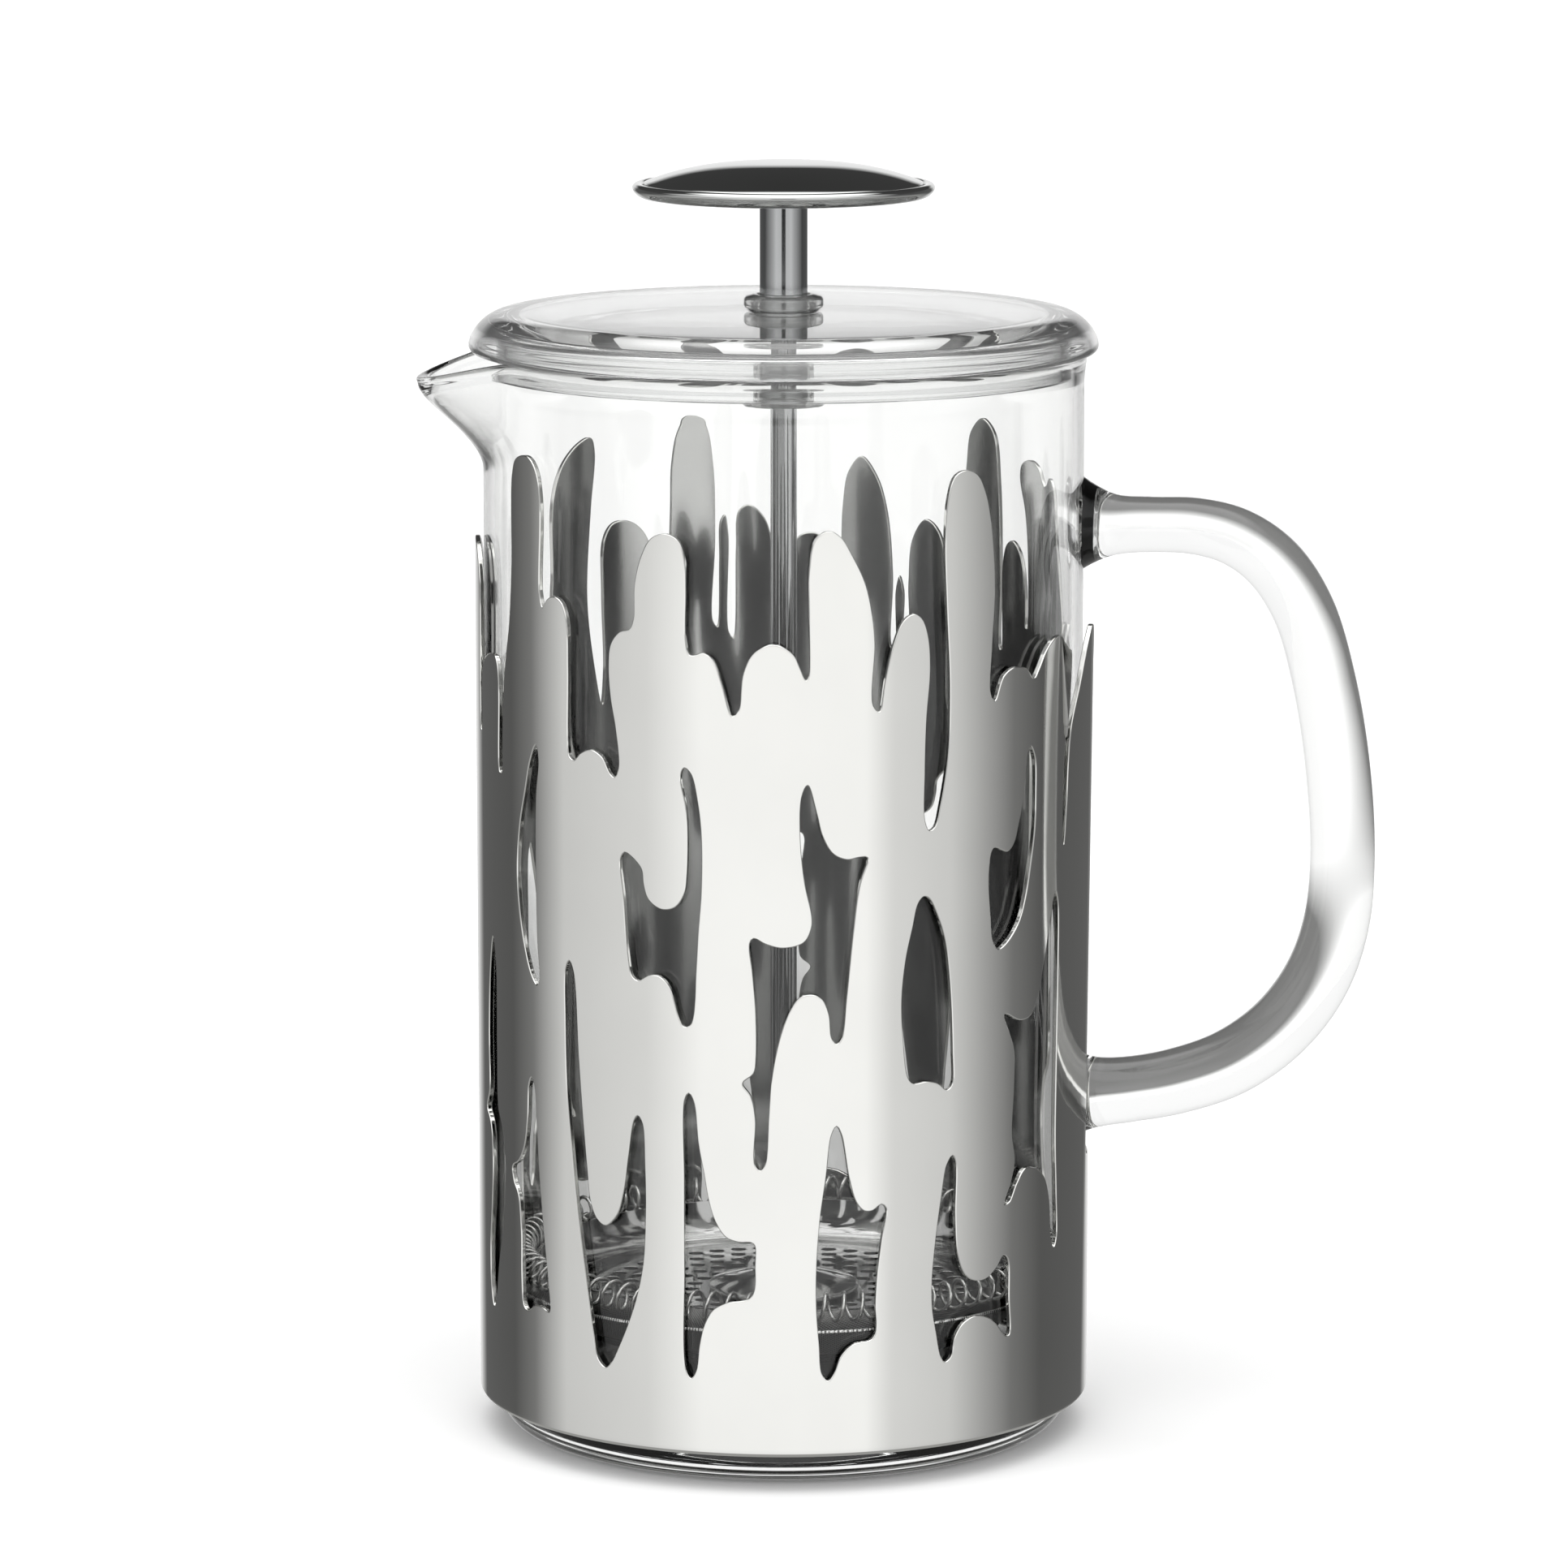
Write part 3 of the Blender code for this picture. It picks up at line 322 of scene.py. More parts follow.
def noise(tree, scale, detail, rough=0.5, stretch=None):
    """Noise in object space, in cells of about scale mm."""
    where = node(tree, "ShaderNodeTexCoord").outputs["Object"]
    if stretch:
        mapping = node(tree, "ShaderNodeMapping")
        mapping.inputs["Scale"].default_value = stretch
        tree.links.new(where, mapping.inputs["Vector"])
        where = mapping.outputs["Vector"]
    texture = node(tree, "ShaderNodeTexNoise")
    for key, value in (("Scale", 1000 / scale), ("Detail", detail), ("Roughness", rough)):
        texture.inputs[key].default_value = value
    tree.links.new(where, texture.inputs["Vector"])
    return texture.outputs["Fac"]


def tinted(tree, value, a, b, start=0.3, end=0.7):
    return ramped(tree, value, [(start, a), (end, b)])


def bumped(tree, shader, value, depth, strength):
    """Shading bumps of depth mm."""
    bump = node(tree, "ShaderNodeBump")
    bump.inputs["Distance"].default_value = depth * MM
    bump.inputs["Strength"].default_value = strength
    tree.links.new(value, bump.inputs["Height"])
    tree.links.new(bump.outputs["Normal"], shader.inputs["Normal"])


def polished(name, tint, low, high):
    """Mirror-polished stainless steel: faint wipe marks in its gloss, and a very slight waviness."""
    m, tree, s = new_material(name, Metallic=1.0)
    tree.links.new(ranged(tree, noise(tree, 14, 5, 0.6, (1, 1, 0.45)), low, high), s.inputs["Roughness"])
    dark = tuple(c * 0.965 for c in tint)
    tree.links.new(tinted(tree, noise(tree, 22, 4), dark, tint), s.inputs["Base Color"])
    bumped(tree, s, noise(tree, 30, 2), 0.02, 0.35)
    return m


def clear(name, tint=(0.997, 1.0, 0.997), ior=1.47, rough=0.0, wave=0.03, through=1.0):
    """Clear glass or plastic: faint waviness, and a trace of wiping in its gloss. Below 1, through makes it milky."""
    m, tree, s = new_material(name, Transmission_Weight=through, IOR=ior)
    tree.links.new(ranged(tree, noise(tree, 18, 4), rough, rough + 0.012), s.inputs["Roughness"])
    pale = tuple(c * 0.99 for c in tint)
    tree.links.new(tinted(tree, noise(tree, 40, 2), pale, tint), s.inputs["Base Color"])
    bumped(tree, s, noise(tree, 26, 2, 0.4, (1, 1, 0.5)), wave, 0.5)
    return m


def drawn_wire(name):
    """Spring wire, duller than the polished pieces."""
    m, tree, s = new_material(name, Metallic=1.0)
    tree.links.new(ranged(tree, noise(tree, 1.2, 3), 0.14, 0.26), s.inputs["Roughness"])
    tree.links.new(tinted(tree, noise(tree, 3.0, 3), (0.5, 0.5, 0.49), (0.68, 0.68, 0.66)), s.inputs["Base Color"])
    return m


def woven(name, pitch=0.42):
    """Fine twill of steel wire: two sets of ribs crossing at right angles, one a little lower than the other. Its
    colour runs near black down between the ribs, as painted shade.
    """
    m, tree, s = new_material(name, Metallic=1.0, Roughness=0.34)
    where = node(tree, "ShaderNodeTexCoord").outputs["Object"]
    ribs = []
    for turn in (45, -45):
        mapping = node(tree, "ShaderNodeMapping")
        mapping.inputs["Rotation"].default_value = (0.35, 0.0, math.radians(turn))
        tree.links.new(where, mapping.inputs["Vector"])
        wave = node(tree, "ShaderNodeTexWave", wave_type="BANDS", bands_direction="X", wave_profile="SIN")
        # One band every pitch: a wave's own period is 1/10 of pi per unit of scale.
        wave.inputs["Scale"].default_value = math.pi / 10 / (pitch * MM)
        wave.inputs["Distortion"].default_value = 0.0
        tree.links.new(mapping.outputs["Vector"], wave.inputs["Vector"])
        ribs.append(wave.outputs["Fac"])
    top = calculated(tree, "MAXIMUM", ribs[0], calculated(tree, "MULTIPLY", ribs[1], 0.72))
    # Painted shade: the colour darkens towards the low parts of the weave, near black between the ribs.
    tree.links.new(tinted(tree, top, (0.10, 0.10, 0.097), (0.85, 0.85, 0.83), 0.25, 0.8), s.inputs["Base Color"])
    bumped(tree, s, top, 0.08, 0.8)
    return m


SLEEVE_STEEL = polished("sleeve_steel", (0.80, 0.80, 0.775), 0.04, 0.08)
# The sleeve's inner face is duller than the outer one, and tinted darker as painted shade for the shaded inside of the
# sleeve.
SLEEVE_INSIDE_PAINTED_SHADE = polished("sleeve_inside_painted_shade", (0.58, 0.58, 0.57), 0.08, 0.14)
KNOB_STEEL = polished("knob_steel", (0.62, 0.63, 0.62), 0.03, 0.06)
FERRULE_STEEL = polished("ferrule_steel", (0.60, 0.61, 0.615), 0.04, 0.08)
ROD_STEEL = polished("rod_steel", (0.46, 0.465, 0.465), 0.04, 0.08)
PLATE_STEEL = polished("plate_steel", (0.42, 0.42, 0.415), 0.03, 0.07)
JUG_GLASS = clear("jug_glass")
LID_GLASS = clear("lid_glass", wave=0.02, through=0.95)
BUSH_CLEAR = clear("bushing_clear", (0.95, 0.955, 0.945), 1.5, 0.03, 0.01, 0.85)
SPRING_STEEL = drawn_wire("spring_wire")
CLOTH = woven("filter_weave")


# ---- meshes and objects ----
def mesh_from(bm, name):
    mesh = bpy.data.meshes.new(name)
    bm.to_mesh(mesh)
    bm.free()
    return mesh


def linked(name, data):
    obj = bpy.data.objects.new(name, data)
    bpy.context.scene.collection.objects.link(obj)
    return obj


def finish_mesh(name, bm, mat, body, angle=40, normals=None):
    """The piece for the node of that name. Edges sharper than angle stay sharp, unless every point has its normal."""
    if normals is None:
        bmesh.ops.recalc_face_normals(bm, faces=bm.faces)
    mesh = mesh_from(bm, name + "_fine")
    mesh.shade_smooth()
    if normals is None:
        mesh.set_sharp_from_angle(angle=math.radians(angle))
    else:
        mesh.normals_split_custom_set_from_vertices(normals)
    mesh.materials.append(mat)
    obj = linked(name + "_fine", mesh)
    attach(obj, body)
    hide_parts(name)
    return obj


def bridged(bm, rings, closed=False):
    """Faces between rings of equal length, and from the last ring to the first one where closed."""
    for low, high in zip(rings, rings[1:] + (rings[:1] if closed else [])):
        for i in range(len(low)):
            j = (i + 1) % len(low)
            bm.faces.new([low[i], low[j], high[j], high[i]])


def rounded(profile, closed):
    """Each corner (r, z, fillet) becomes an arc of that radius, with a point just off each end of it so that the
    straight runs stay straight in their shading."""
    arc_step, short_run, just_off = math.radians(11), 1.2, 0.25
    out, n = [], len(profile)
    for i, (x, z, f) in enumerate(profile):
        p = Vector((x, z))
        ends = not closed and i in (0, n - 1)
        if ends or f <= 0:
            out.append(p)
            continue
        a, b = Vector(profile[i - 1][:2]), Vector(profile[(i + 1) % n][:2])
        u, v = (a - p).normalized(), (b - p).normalized()
        half = u.angle(v) / 2
        if half > math.radians(88.5):
            out.append(p)
            continue
        back = min(f / math.tan(half), (a - p).length * 0.49, (b - p).length * 0.49)
        f = back * math.tan(half)
        centre = p + (u + v).normalized() * (f / math.sin(half))
        s, e = p + u * back - centre, p + v * back - centre
        steps = max(3, math.ceil((math.pi - 2 * half) / arc_step))
        swing = s.angle_signed(e)
        if (a - p).length > back + short_run:
            out.append(p + u * (back + just_off))
        for k in range(steps + 1):
            t = -swing * k / steps
            out.append(centre + Vector((s.x * math.cos(t) - s.y * math.sin(t), s.x * math.sin(t) + s.y * math.cos(t))))
        if (b - p).length > back + short_run:
            out.append(p + v * (back + just_off))
    return [(p.x, p.y) for p in out]


def lathe_mesh(profile, sides, closed, shape=None):
    bm = bmesh.new()
    rings = []
    for r, z in profile:
        ring = []
        for i in range(sides if r > 1e-6 else 1):
            a = 2 * math.pi * i / sides
            rr, zz = shape(r, a, z) if shape else (r, z)
            ring.append(bm.verts.new((rr * math.cos(a) * MM, rr * math.sin(a) * MM, zz * MM)))
        rings.append(ring)
    for low, high in list(zip(rings, rings[1:])) + ([(rings[-1], rings[0])] if closed else []):
        for i in range(sides):
            j = (i + 1) % sides
            corners = [low[i % len(low)], low[j % len(low)], high[j % len(high)], high[i % len(high)]]
            corners = list(dict.fromkeys(corners))
            if len(corners) > 2:
                bm.faces.new(corners)
    return bm


def lathe(name, profile, mat, body, sides, closed=True):
    return finish_mesh(name, lathe_mesh(rounded(profile, closed), sides, closed), mat, body)


def curve_through(points, step, closed=False):
    """Centripetal spline through the points, of any dimension, in steps of about step mm."""
    pts = [np.array(p, float) for p in points]
    out, n = [], len(pts)
    for i in range(n if closed else n - 1):
        p1, p2 = pts[i], pts[(i + 1) % n]
        p0 = pts[i - 1] if closed or i else 2 * p1 - p2
        p3 = pts[(i + 2) % n] if closed or i + 2 < n else 2 * p2 - p1
        t1 = max(np.linalg.norm(p1 - p0), 1e-6) ** 0.5
        t2 = t1 + max(np.linalg.norm(p2 - p1), 1e-6) ** 0.5
        t3 = t2 + max(np.linalg.norm(p3 - p2), 1e-6) ** 0.5
        count = max(1, math.ceil(np.linalg.norm(p2 - p1) / step))
        for j in range(count):
            t = t1 + (t2 - t1) * j / count
            a1 = p0 + (p1 - p0) * t / t1
            a2 = p1 + (p2 - p1) * (t - t1) / (t2 - t1)
            a3 = p2 + (p3 - p2) * (t - t2) / (t3 - t2)
            b1 = a1 + (a2 - a1) * t / t2
            b2 = a2 + (a3 - a2) * (t - t1) / (t3 - t1)
            out.append(b1 + (b2 - b1) * (t - t1) / (t2 - t1))
    if not closed:
        out.append(pts[-1])
    return out


def unfilleted(points):
    return [(x, z, 0) for x, z in points]


def chain_edges(start, count, closed):
    edges = [(start + i, start + i + 1) for i in range(count - 1)]
    return edges + [(start + count - 1, start)] if closed else edges


def triangulated(points, edges, precision, smallest):
    """Flat triangles that keep the given edges: their points, their corners all turning left, their middles, and the
    place of each given point among the new ones."""
    flat, _, faces, origins, *_ = delaunay_2d_cdt([Vector(v) for v in points], edges, [], 0, precision)
    xy = np.array([(v.x, v.y) for v in flat])
    tri = np.array([f for f in faces if len(f) == 3])
    p, q, r = xy[tri[:, 0]], xy[tri[:, 1]], xy[tri[:, 2]]
    area = (q[:, 0] - p[:, 0]) * (r[:, 1] - p[:, 1]) - (q[:, 1] - p[:, 1]) * (r[:, 0] - p[:, 0])
    keep = np.abs(area) > smallest
    tri, area, mid = tri[keep], area[keep], ((p + q + r) / 3)[keep]
    tri[area < 0] = tri[area < 0][:, ::-1]
    return xy, tri, mid, {k: i for i, sources in enumerate(origins) for k in sources}


def inside(tri, mid, borders):
    """The triangles from whose middle a line to the right crosses an odd number of the border's edges."""
    odd = np.zeros(len(tri), bool)
    for (x0, y0), (x1, y1) in borders:
        if y0 != y1:
            level = (y0 > mid[:, 1]) != (y1 > mid[:, 1])
            odd ^= level & (mid[:, 0] < x0 + (x1 - x0) * (mid[:, 1] - y0) / (y1 - y0))
    return tri[odd]


# ---- glass jug with its spout and its fused handle ----
def spout(r, a, z):
    """The radius and height that a point of the wall is pulled to, near the spout at 180 degrees."""
    off = abs(math.degrees(a) % 360 - 180)
    if z <= SPOUT_FROM or off >= SPOUT_HALF:
        return r, z
    across = math.cos(math.pi / 2 * off / SPOUT_HALF) ** 2
    up = (z - SPOUT_FROM) / (RIM_Z - SPOUT_FROM)
    reach = min(max(1.25 * (up - 0.04), 0), 1)
    return r + SPOUT_REACH * across * reach * reach * (3 - 2 * reach), z - SPOUT_DROP * across * up ** 3


def jug_wall():
    """The jug's section, from the middle underneath, over the rim, to the middle of the floor inside."""
    foot = curve_through([
        (40.5, 0), (42, 0.05), (44.6, 0.9), (46.3, 2.8), (47.2, 5.4), (47.9, 9.0), (48.5, 13.5), (GLASS_R, 20),
    ], step=0.7)
    rim = curve_through([
        (GLASS_R, 170), (GLASS_R, 172), (GLASS_R + 0.18, 174.2), (GLASS_R + 0.35, 175.6), (GLASS_R + 0.18, 176.5),
        (GLASS_R - 0.4, 176.95), (GLASS_R - GLASS_T / 2, RIM_Z), (GLASS_IN + 0.3, 176.8), (GLASS_IN, 176.0),
        (GLASS_IN, 174), (GLASS_IN, 170),
    ], step=0.35)
    well = curve_through([
        (GLASS_IN, 18), (GLASS_IN, 16), (GLASS_IN - 0.8, 12.2), (GLASS_IN - 2.8, 9.6), (GLASS_IN - 6, FLOOR_Z + 0.05),
        (GLASS_IN - 8, FLOOR_Z),
    ], step=0.7)
    # The rings stand closer where the spout bends the wall.
    up = [(GLASS_R, z) for z in (*np.arange(24, 156, 6), *np.arange(156, 170, 1.0))]
    down = [(GLASS_IN, z) for z in (*np.arange(169, 155, -1.0), *np.arange(152, 20, -6))]
    foot, rim, well = ([tuple(p) for p in curve] for curve in (foot, rim, well))
    return [(0, 0), (20, 0)] + foot + up + rim + down + well + [(20, FLOOR_Z), (0, FLOOR_Z)]


def handle_blank():
    """The handle alone: a solid rod, flared where it is fused to the wall."""
    path = curve_through(HANDLE, step=1.2)
    bm = bmesh.new()
    rings = []
    for k, (x, z, t) in enumerate(path):
        before, after = path[max(k - 1, 0)], path[min(k + 1, len(path) - 1)]
        along = Vector((after[0] - before[0], 0, after[1] - before[1])).normalized()
        if k in (0, len(path) - 1):
            along = Vector((1 if k == 0 else -1, 0, 0))
        out = Vector((0, 1, 0)).cross(along)
        wide = min(max(HANDLE_HALF_WIDTH, t), FLARE_HALF_WIDTH)
        rings.append([
            bm.verts.new((Vector((x, 0, z)) + out * (t * math.cos(a)) + Vector((0, wide * math.sin(a), 0))) * MM)
            for a in (2 * math.pi * i / HANDLE_SIDES for i in range(HANDLE_SIDES))
        ])
    bridged(bm, rings)
    bm.faces.new(rings[0])
    bm.faces.new(rings[-1])
    bmesh.ops.recalc_face_normals(bm, faces=bm.faces)
    return linked("handle_blank", mesh_from(bm, "handle_blank"))


def build_jug():
    handle = handle_blank()
    jug = finish_mesh("glass_jug", lathe_mesh(jug_wall(), 160, False, spout), JUG_GLASS, "jug")
    fuse = jug.modifiers.new("fused_handle", "BOOLEAN")
    fuse.operation, fuse.solver, fuse.object = "UNION", "EXACT", handle
    bpy.context.view_layer.update()
    fused = bpy.data.meshes.new_from_object(jug.evaluated_get(bpy.context.evaluated_depsgraph_get()))
    jug.modifiers.clear()
    jug.data = fused
    fused.shade_smooth()
    fused.set_sharp_from_angle(angle=math.radians(50))
    bpy.data.objects.remove(handle)


# ---- sleeve: flat outline, rolled round, with rounded cut edges ----
def placed(x, z, depth):
    """The place on the rolled sheet, depth mm in from its outer face, with its outward and sideways directions."""
    a = x / TURN_MM
    r = SLEEVE_R - depth
    slope = 0.0
    if z > SPLAY_Z and SPLAY_END < a < 0:
        r += SPLAY * ((z - SPLAY_Z) / SPLAY_RISE) ** 2
        slope = 2 * SPLAY * (z - SPLAY_Z) / SPLAY_RISE ** 2
    a = math.radians(a)
    out = Vector((math.cos(a), math.sin(a), -slope)).normalized()
    return Vector((r * math.cos(a), r * math.sin(a), z)), out, Vector((-math.sin(a), math.cos(a), 0))


def spaced(line, least=0.12):
    """The line without points that are closer than least mm to the one before."""
    out = [line[0]]
    for p in line[1:-1]:
        if math.dist(p, out[-1]) > least:
            out.append(p)
    out.append(line[-1])
    return out


def inward(chain, left):
    """Unit steps into the metal at each point of a closed chain; left says which side of travel it is on."""
    out, n = [], len(chain)
    for i in range(n):
        a, p, b = Vector(chain[i - 1]), Vector(chain[i]), Vector(chain[(i + 1) % n])
        u, v = (p - a).normalized(), (b - p).normalized()
        m = u + v
        m = m.normalized() if m.length > 1e-6 else u
        scale = min(1 / max(m.dot(u), 0.5), 1.25)
        step = Vector((-m.y, m.x)) if left else Vector((m.y, -m.x))
        out.append(step * scale)
    return out


def split_at_folds(loop, steps, closed):
    """Adds a point wherever the inset line crosses a fold of the sheet, so that faces and cut edges share points."""
    width = 360 * TURN_MM / FOLDS
    out_loop, out_steps = [], []
    for i, (p, s) in enumerate(zip(loop, steps)):
        out_loop.append(p)
        out_steps.append(s)
        if i == len(loop) - 1 and not closed:
            break
        j = (i + 1) % len(loop)
        x0, x1 = p[0] + s.x * EDGE, loop[j][0] + steps[j].x * EDGE
        low, high = sorted((x0 / width, x1 / width))
        marks = [k * width for k in range(math.floor(low) + 1, math.ceil(high))]
        for x in marks if x0 <= x1 else reversed(marks):
            t = (x - x0) / (x1 - x0)
            out_loop.append((p[0] + (loop[j][0] - p[0]) * t, p[1] + (loop[j][1] - p[1]) * t))
            out_steps.append(s.lerp(steps[j], t))
    return out_loop, out_steps, closed


def flat_curve(points, turn=0, closed=False, step=0.7):
    """A curve on the flat sheet, in mm, through points given in degrees and mm."""
    return [tuple(p) for p in curve_through([((a + turn) * TURN_MM, z) for a, z in points], step, closed)]


def sleeve_walls():
    """The cut edges: the crown with both sides of the slot, then each opening, with the steps into the metal."""
    slot_side = [
        (-SLOT_HALF, 70), (-SLOT_HALF, 50), (-SLOT_HALF + 0.9, 47), (-SLOT_HALF + 2.8, 45.4),
        (-SLOT_HALF + 5, SLOT_Z), (-SLOT_HALF + 8, SLOT_Z), (0, SLOT_Z),
    ]
    right_side = flat_curve(reversed(slot_side))[:-1]
    left_side = flat_curve([(-360 - a, z) for a, z in slot_side])[1:]
    chain = spaced(right_side + flat_curve(CROWN) + left_side)
    steps = inward(chain, True)
    steps[0] = steps[-1] = Vector((0, -1))
    walls = [(chain, steps, False)]
    for name, turn in OPENING_TURNS:
        loop = spaced(flat_curve(OPEN[name], turn, True, 0.6))
        area = sum(x0 * y1 - x1 * y0 for (x0, y0), (x1, y1) in zip(loop, loop[1:] + loop[:1]))
        walls.append((loop, inward(loop, area < 0), True))
    return [split_at_folds(*wall) for wall in walls]


def flat_sheet(walls):
    """Triangles of the flat sheet, inset from its cut edges, and where each edge's points are among theirs."""
    verts, edges, members = [], [], []
    for loop, steps, closed in walls:
        start = len(verts)
        verts += [(p[0] + s.x * EDGE, p[1] + s.y * EDGE) for p, s in zip(loop, steps)]
        members.append(list(range(start, len(verts))))
        edges += chain_edges(start, len(loop), closed)
    base_ends = [len(verts), len(verts) + 1]
    verts += [(-360 * TURN_MM, SLEEVE_BASE), (0, SLEEVE_BASE)]
    edges += [(members[0][-1], base_ends[0]), tuple(base_ends), (base_ends[1], members[0][0])]
    for i in range(1, FOLDS):
        x = -360 * TURN_MM * i / FOLDS
        verts += [(x, SLEEVE_BASE - 3), (x, ABOVE_CROWN)]
        edges.append((len(verts) - 2, len(verts) - 1))
    xy, tri, mid, at = triangulated(verts, edges, 1e-5, 1e-9)
    borders = [
        (xy[at[m[i]]], xy[at[m[(i + 1) % len(m)]]])
        for m in [members[0] + base_ends] + members[1:] for i in range(len(m))
    ]
    return xy, inside(tri, mid, borders), [[at[k] for k in m] for m in members]


def build_sleeve():
    walls = sleeve_walls()
    xy, tri, members = flat_sheet(walls)
    bm = bmesh.new()
    keep_normal = bm.verts.layers.float_vector.new("n")

    def vert(point, normal):
        v = bm.verts.new(point * MM)
        v[keep_normal] = normal
        return v

    sides = []
    for depth, sign in ((0, 1), (SLEEVE_T, -1)):
        made = {}
        for i in np.unique(tri):
            point, out, _ = placed(xy[i, 0], xy[i, 1], depth)
            made[int(i)] = vert(point, out * sign)
        sides.append(made)
    for f in tri:
        a, b, c = (int(i) for i in f)
        bm.faces.new([sides[0][a], sides[0][b], sides[0][c]])
        # The inner face takes the second material, tinted darker as painted shade.
        bm.faces.new([sides[1][c], sides[1][b], sides[1][a]]).material_index = 1
    # The cut edges: a quarter turn in from the outer face, and one on to the inner face.
    turns = [(k / EDGE_STEPS * math.pi / 2, 1) for k in range(EDGE_STEPS + 1)]
    turns += [(phi, -1) for phi, _ in reversed(turns)]
    for (loop, steps, closed), member in zip(walls, members):
        rings = []
        for phi, sign in turns[1:-1]:
            inset = EDGE * (1 - math.sin(phi))
            depth = EDGE * (1 - math.cos(phi))
            ring = []
            for p, s in zip(loop, steps):
                x, z = p[0] + s.x * inset, p[1] + s.y * inset
                point, out, along = placed(x, z, depth if sign > 0 else SLEEVE_T - depth)
                unit = s.normalized()
                edge = -(along * unit.x + Vector((0, 0, 1)) * unit.y)
                ring.append(vert(point, (out * sign * math.cos(phi) + edge * math.sin(phi)).normalized()))
            rings.append(ring)
        rings = [[sides[0].get(i) for i in member], *rings, [sides[1].get(i) for i in member]]
        n = len(loop)
        for low, high in zip(rings, rings[1:]):
            for i in range(n if closed else n - 1):
                j = (i + 1) % n
                quad = [low[i], high[i], high[j], low[j]]
                # Two points of an edge that fell together in the flat sheet have no face between them.
                if None not in quad and len(set(quad)) == 4:
                    bm.faces.new(quad)
    # The rim turned in under the jug, made along the base points of both faces.
    base = sorted((i for i in sides[0] if abs(xy[i, 1] - SLEEVE_BASE) < 1e-6), key=lambda i: xy[i, 0])
    turned_in = rounded([
        (SLEEVE_R, SLEEVE_BASE, 0), (SLEEVE_R, 5.7, 1.28), (47.9, 5.7, 0.3), (47.9, 6.5, 0.3), (49.1, 6.5, 0.4),
        (49.1, SLEEVE_BASE, 0),
    ], False)
    rings = [[sides[0][i] for i in base]]
    for k, (r, z) in enumerate(turned_in[1:-1], 1):
        (r0, z0), (r1, z1) = turned_in[k - 1], turned_in[k + 1]
        side = Vector((-(z1 - z0), r1 - r0)).normalized()
        ring = []
        for i in base:
            a = math.radians(xy[i, 0] / TURN_MM)
            out = Vector((side.x * math.cos(a), side.x * math.sin(a), side.y))
            ring.append(vert(Vector((r * math.cos(a), r * math.sin(a), z)), out))
        rings.append(ring)
    rings.append([sides[1][i] for i in base])
    for low, high in zip(rings, rings[1:]):
        for i in range(len(base) - 1):
            bm.faces.new([low[i], high[i], high[i + 1], low[i + 1]])
    bmesh.ops.remove_doubles(bm, verts=bm.verts, dist=0.002 * MM)
    bmesh.ops.recalc_face_normals(bm, faces=bm.faces)
    normals = [v[keep_normal].copy() for v in bm.verts]
    sleeve = finish_mesh("bark_sleeve", bm, SLEEVE_STEEL, "sleeve", normals=normals)
    # The second material darkens the inner face as painted shade.
    sleeve.data.materials.append(SLEEVE_INSIDE_PAINTED_SHADE)


# ---- lid, bushing and its ring ----
def build_lid():
    shoulder = curve_through([
        (41.5, LID_TOP), (43.2, LID_TOP - 0.02), (45.0, LID_TOP - 0.12), (46.9, 182.72), (48.6, 181.75),
        (50.05, 180.15), (50.8, 178.5), (50.78, 177.5), (50.3, 176.95), (49.75, 177.0), (49.4, 177.5),
    ], step=0.3)
    channel = curve_through([
        (49.3, 178.2), (48.8, 179.2), (47.9, 180.1), (46.9, 180.4), (46.3, 179.9), (46.2, 179.0),
    ], step=0.3)
    lathe("lid", [(5.3, 180.95, 0.6), (5.3, LID_TOP, 0.7)] + unfilleted(shoulder + channel) + [
        (SKIRT_R, 173.4, 0.7), (45.4, SKIRT_Z, 0.5), (44.7, 173.4, 0.5), (44.6, 180.0, 1.6), (43.0, 180.95, 1.6),
    ], LID_GLASS, "lid", 192)
    lathe("lid_bushing", [
        (4.9, 169.3, 0.3), (4.9, 183.55, 0.3), (6.45, 183.6, 0.6), (6.45, 185.5, 0.75), (4.9, 185.9, 0.3),
        (4.25, 185.9, 0.25), (4.25, 171.9, 0.3), (2.5, 171.9, 0.3), (2.5, 169.3, 0.3),
    ], BUSH_CLEAR, "bushing", 64)
    lathe("bushing_ring", [
        (5.2, 169.6, 0.3), (6.6, 169.6, 0.7), (6.6, 171.7, 0.7), (5.2, 171.7, 0.3),
    ], BUSH_CLEAR, "bushing", 64)


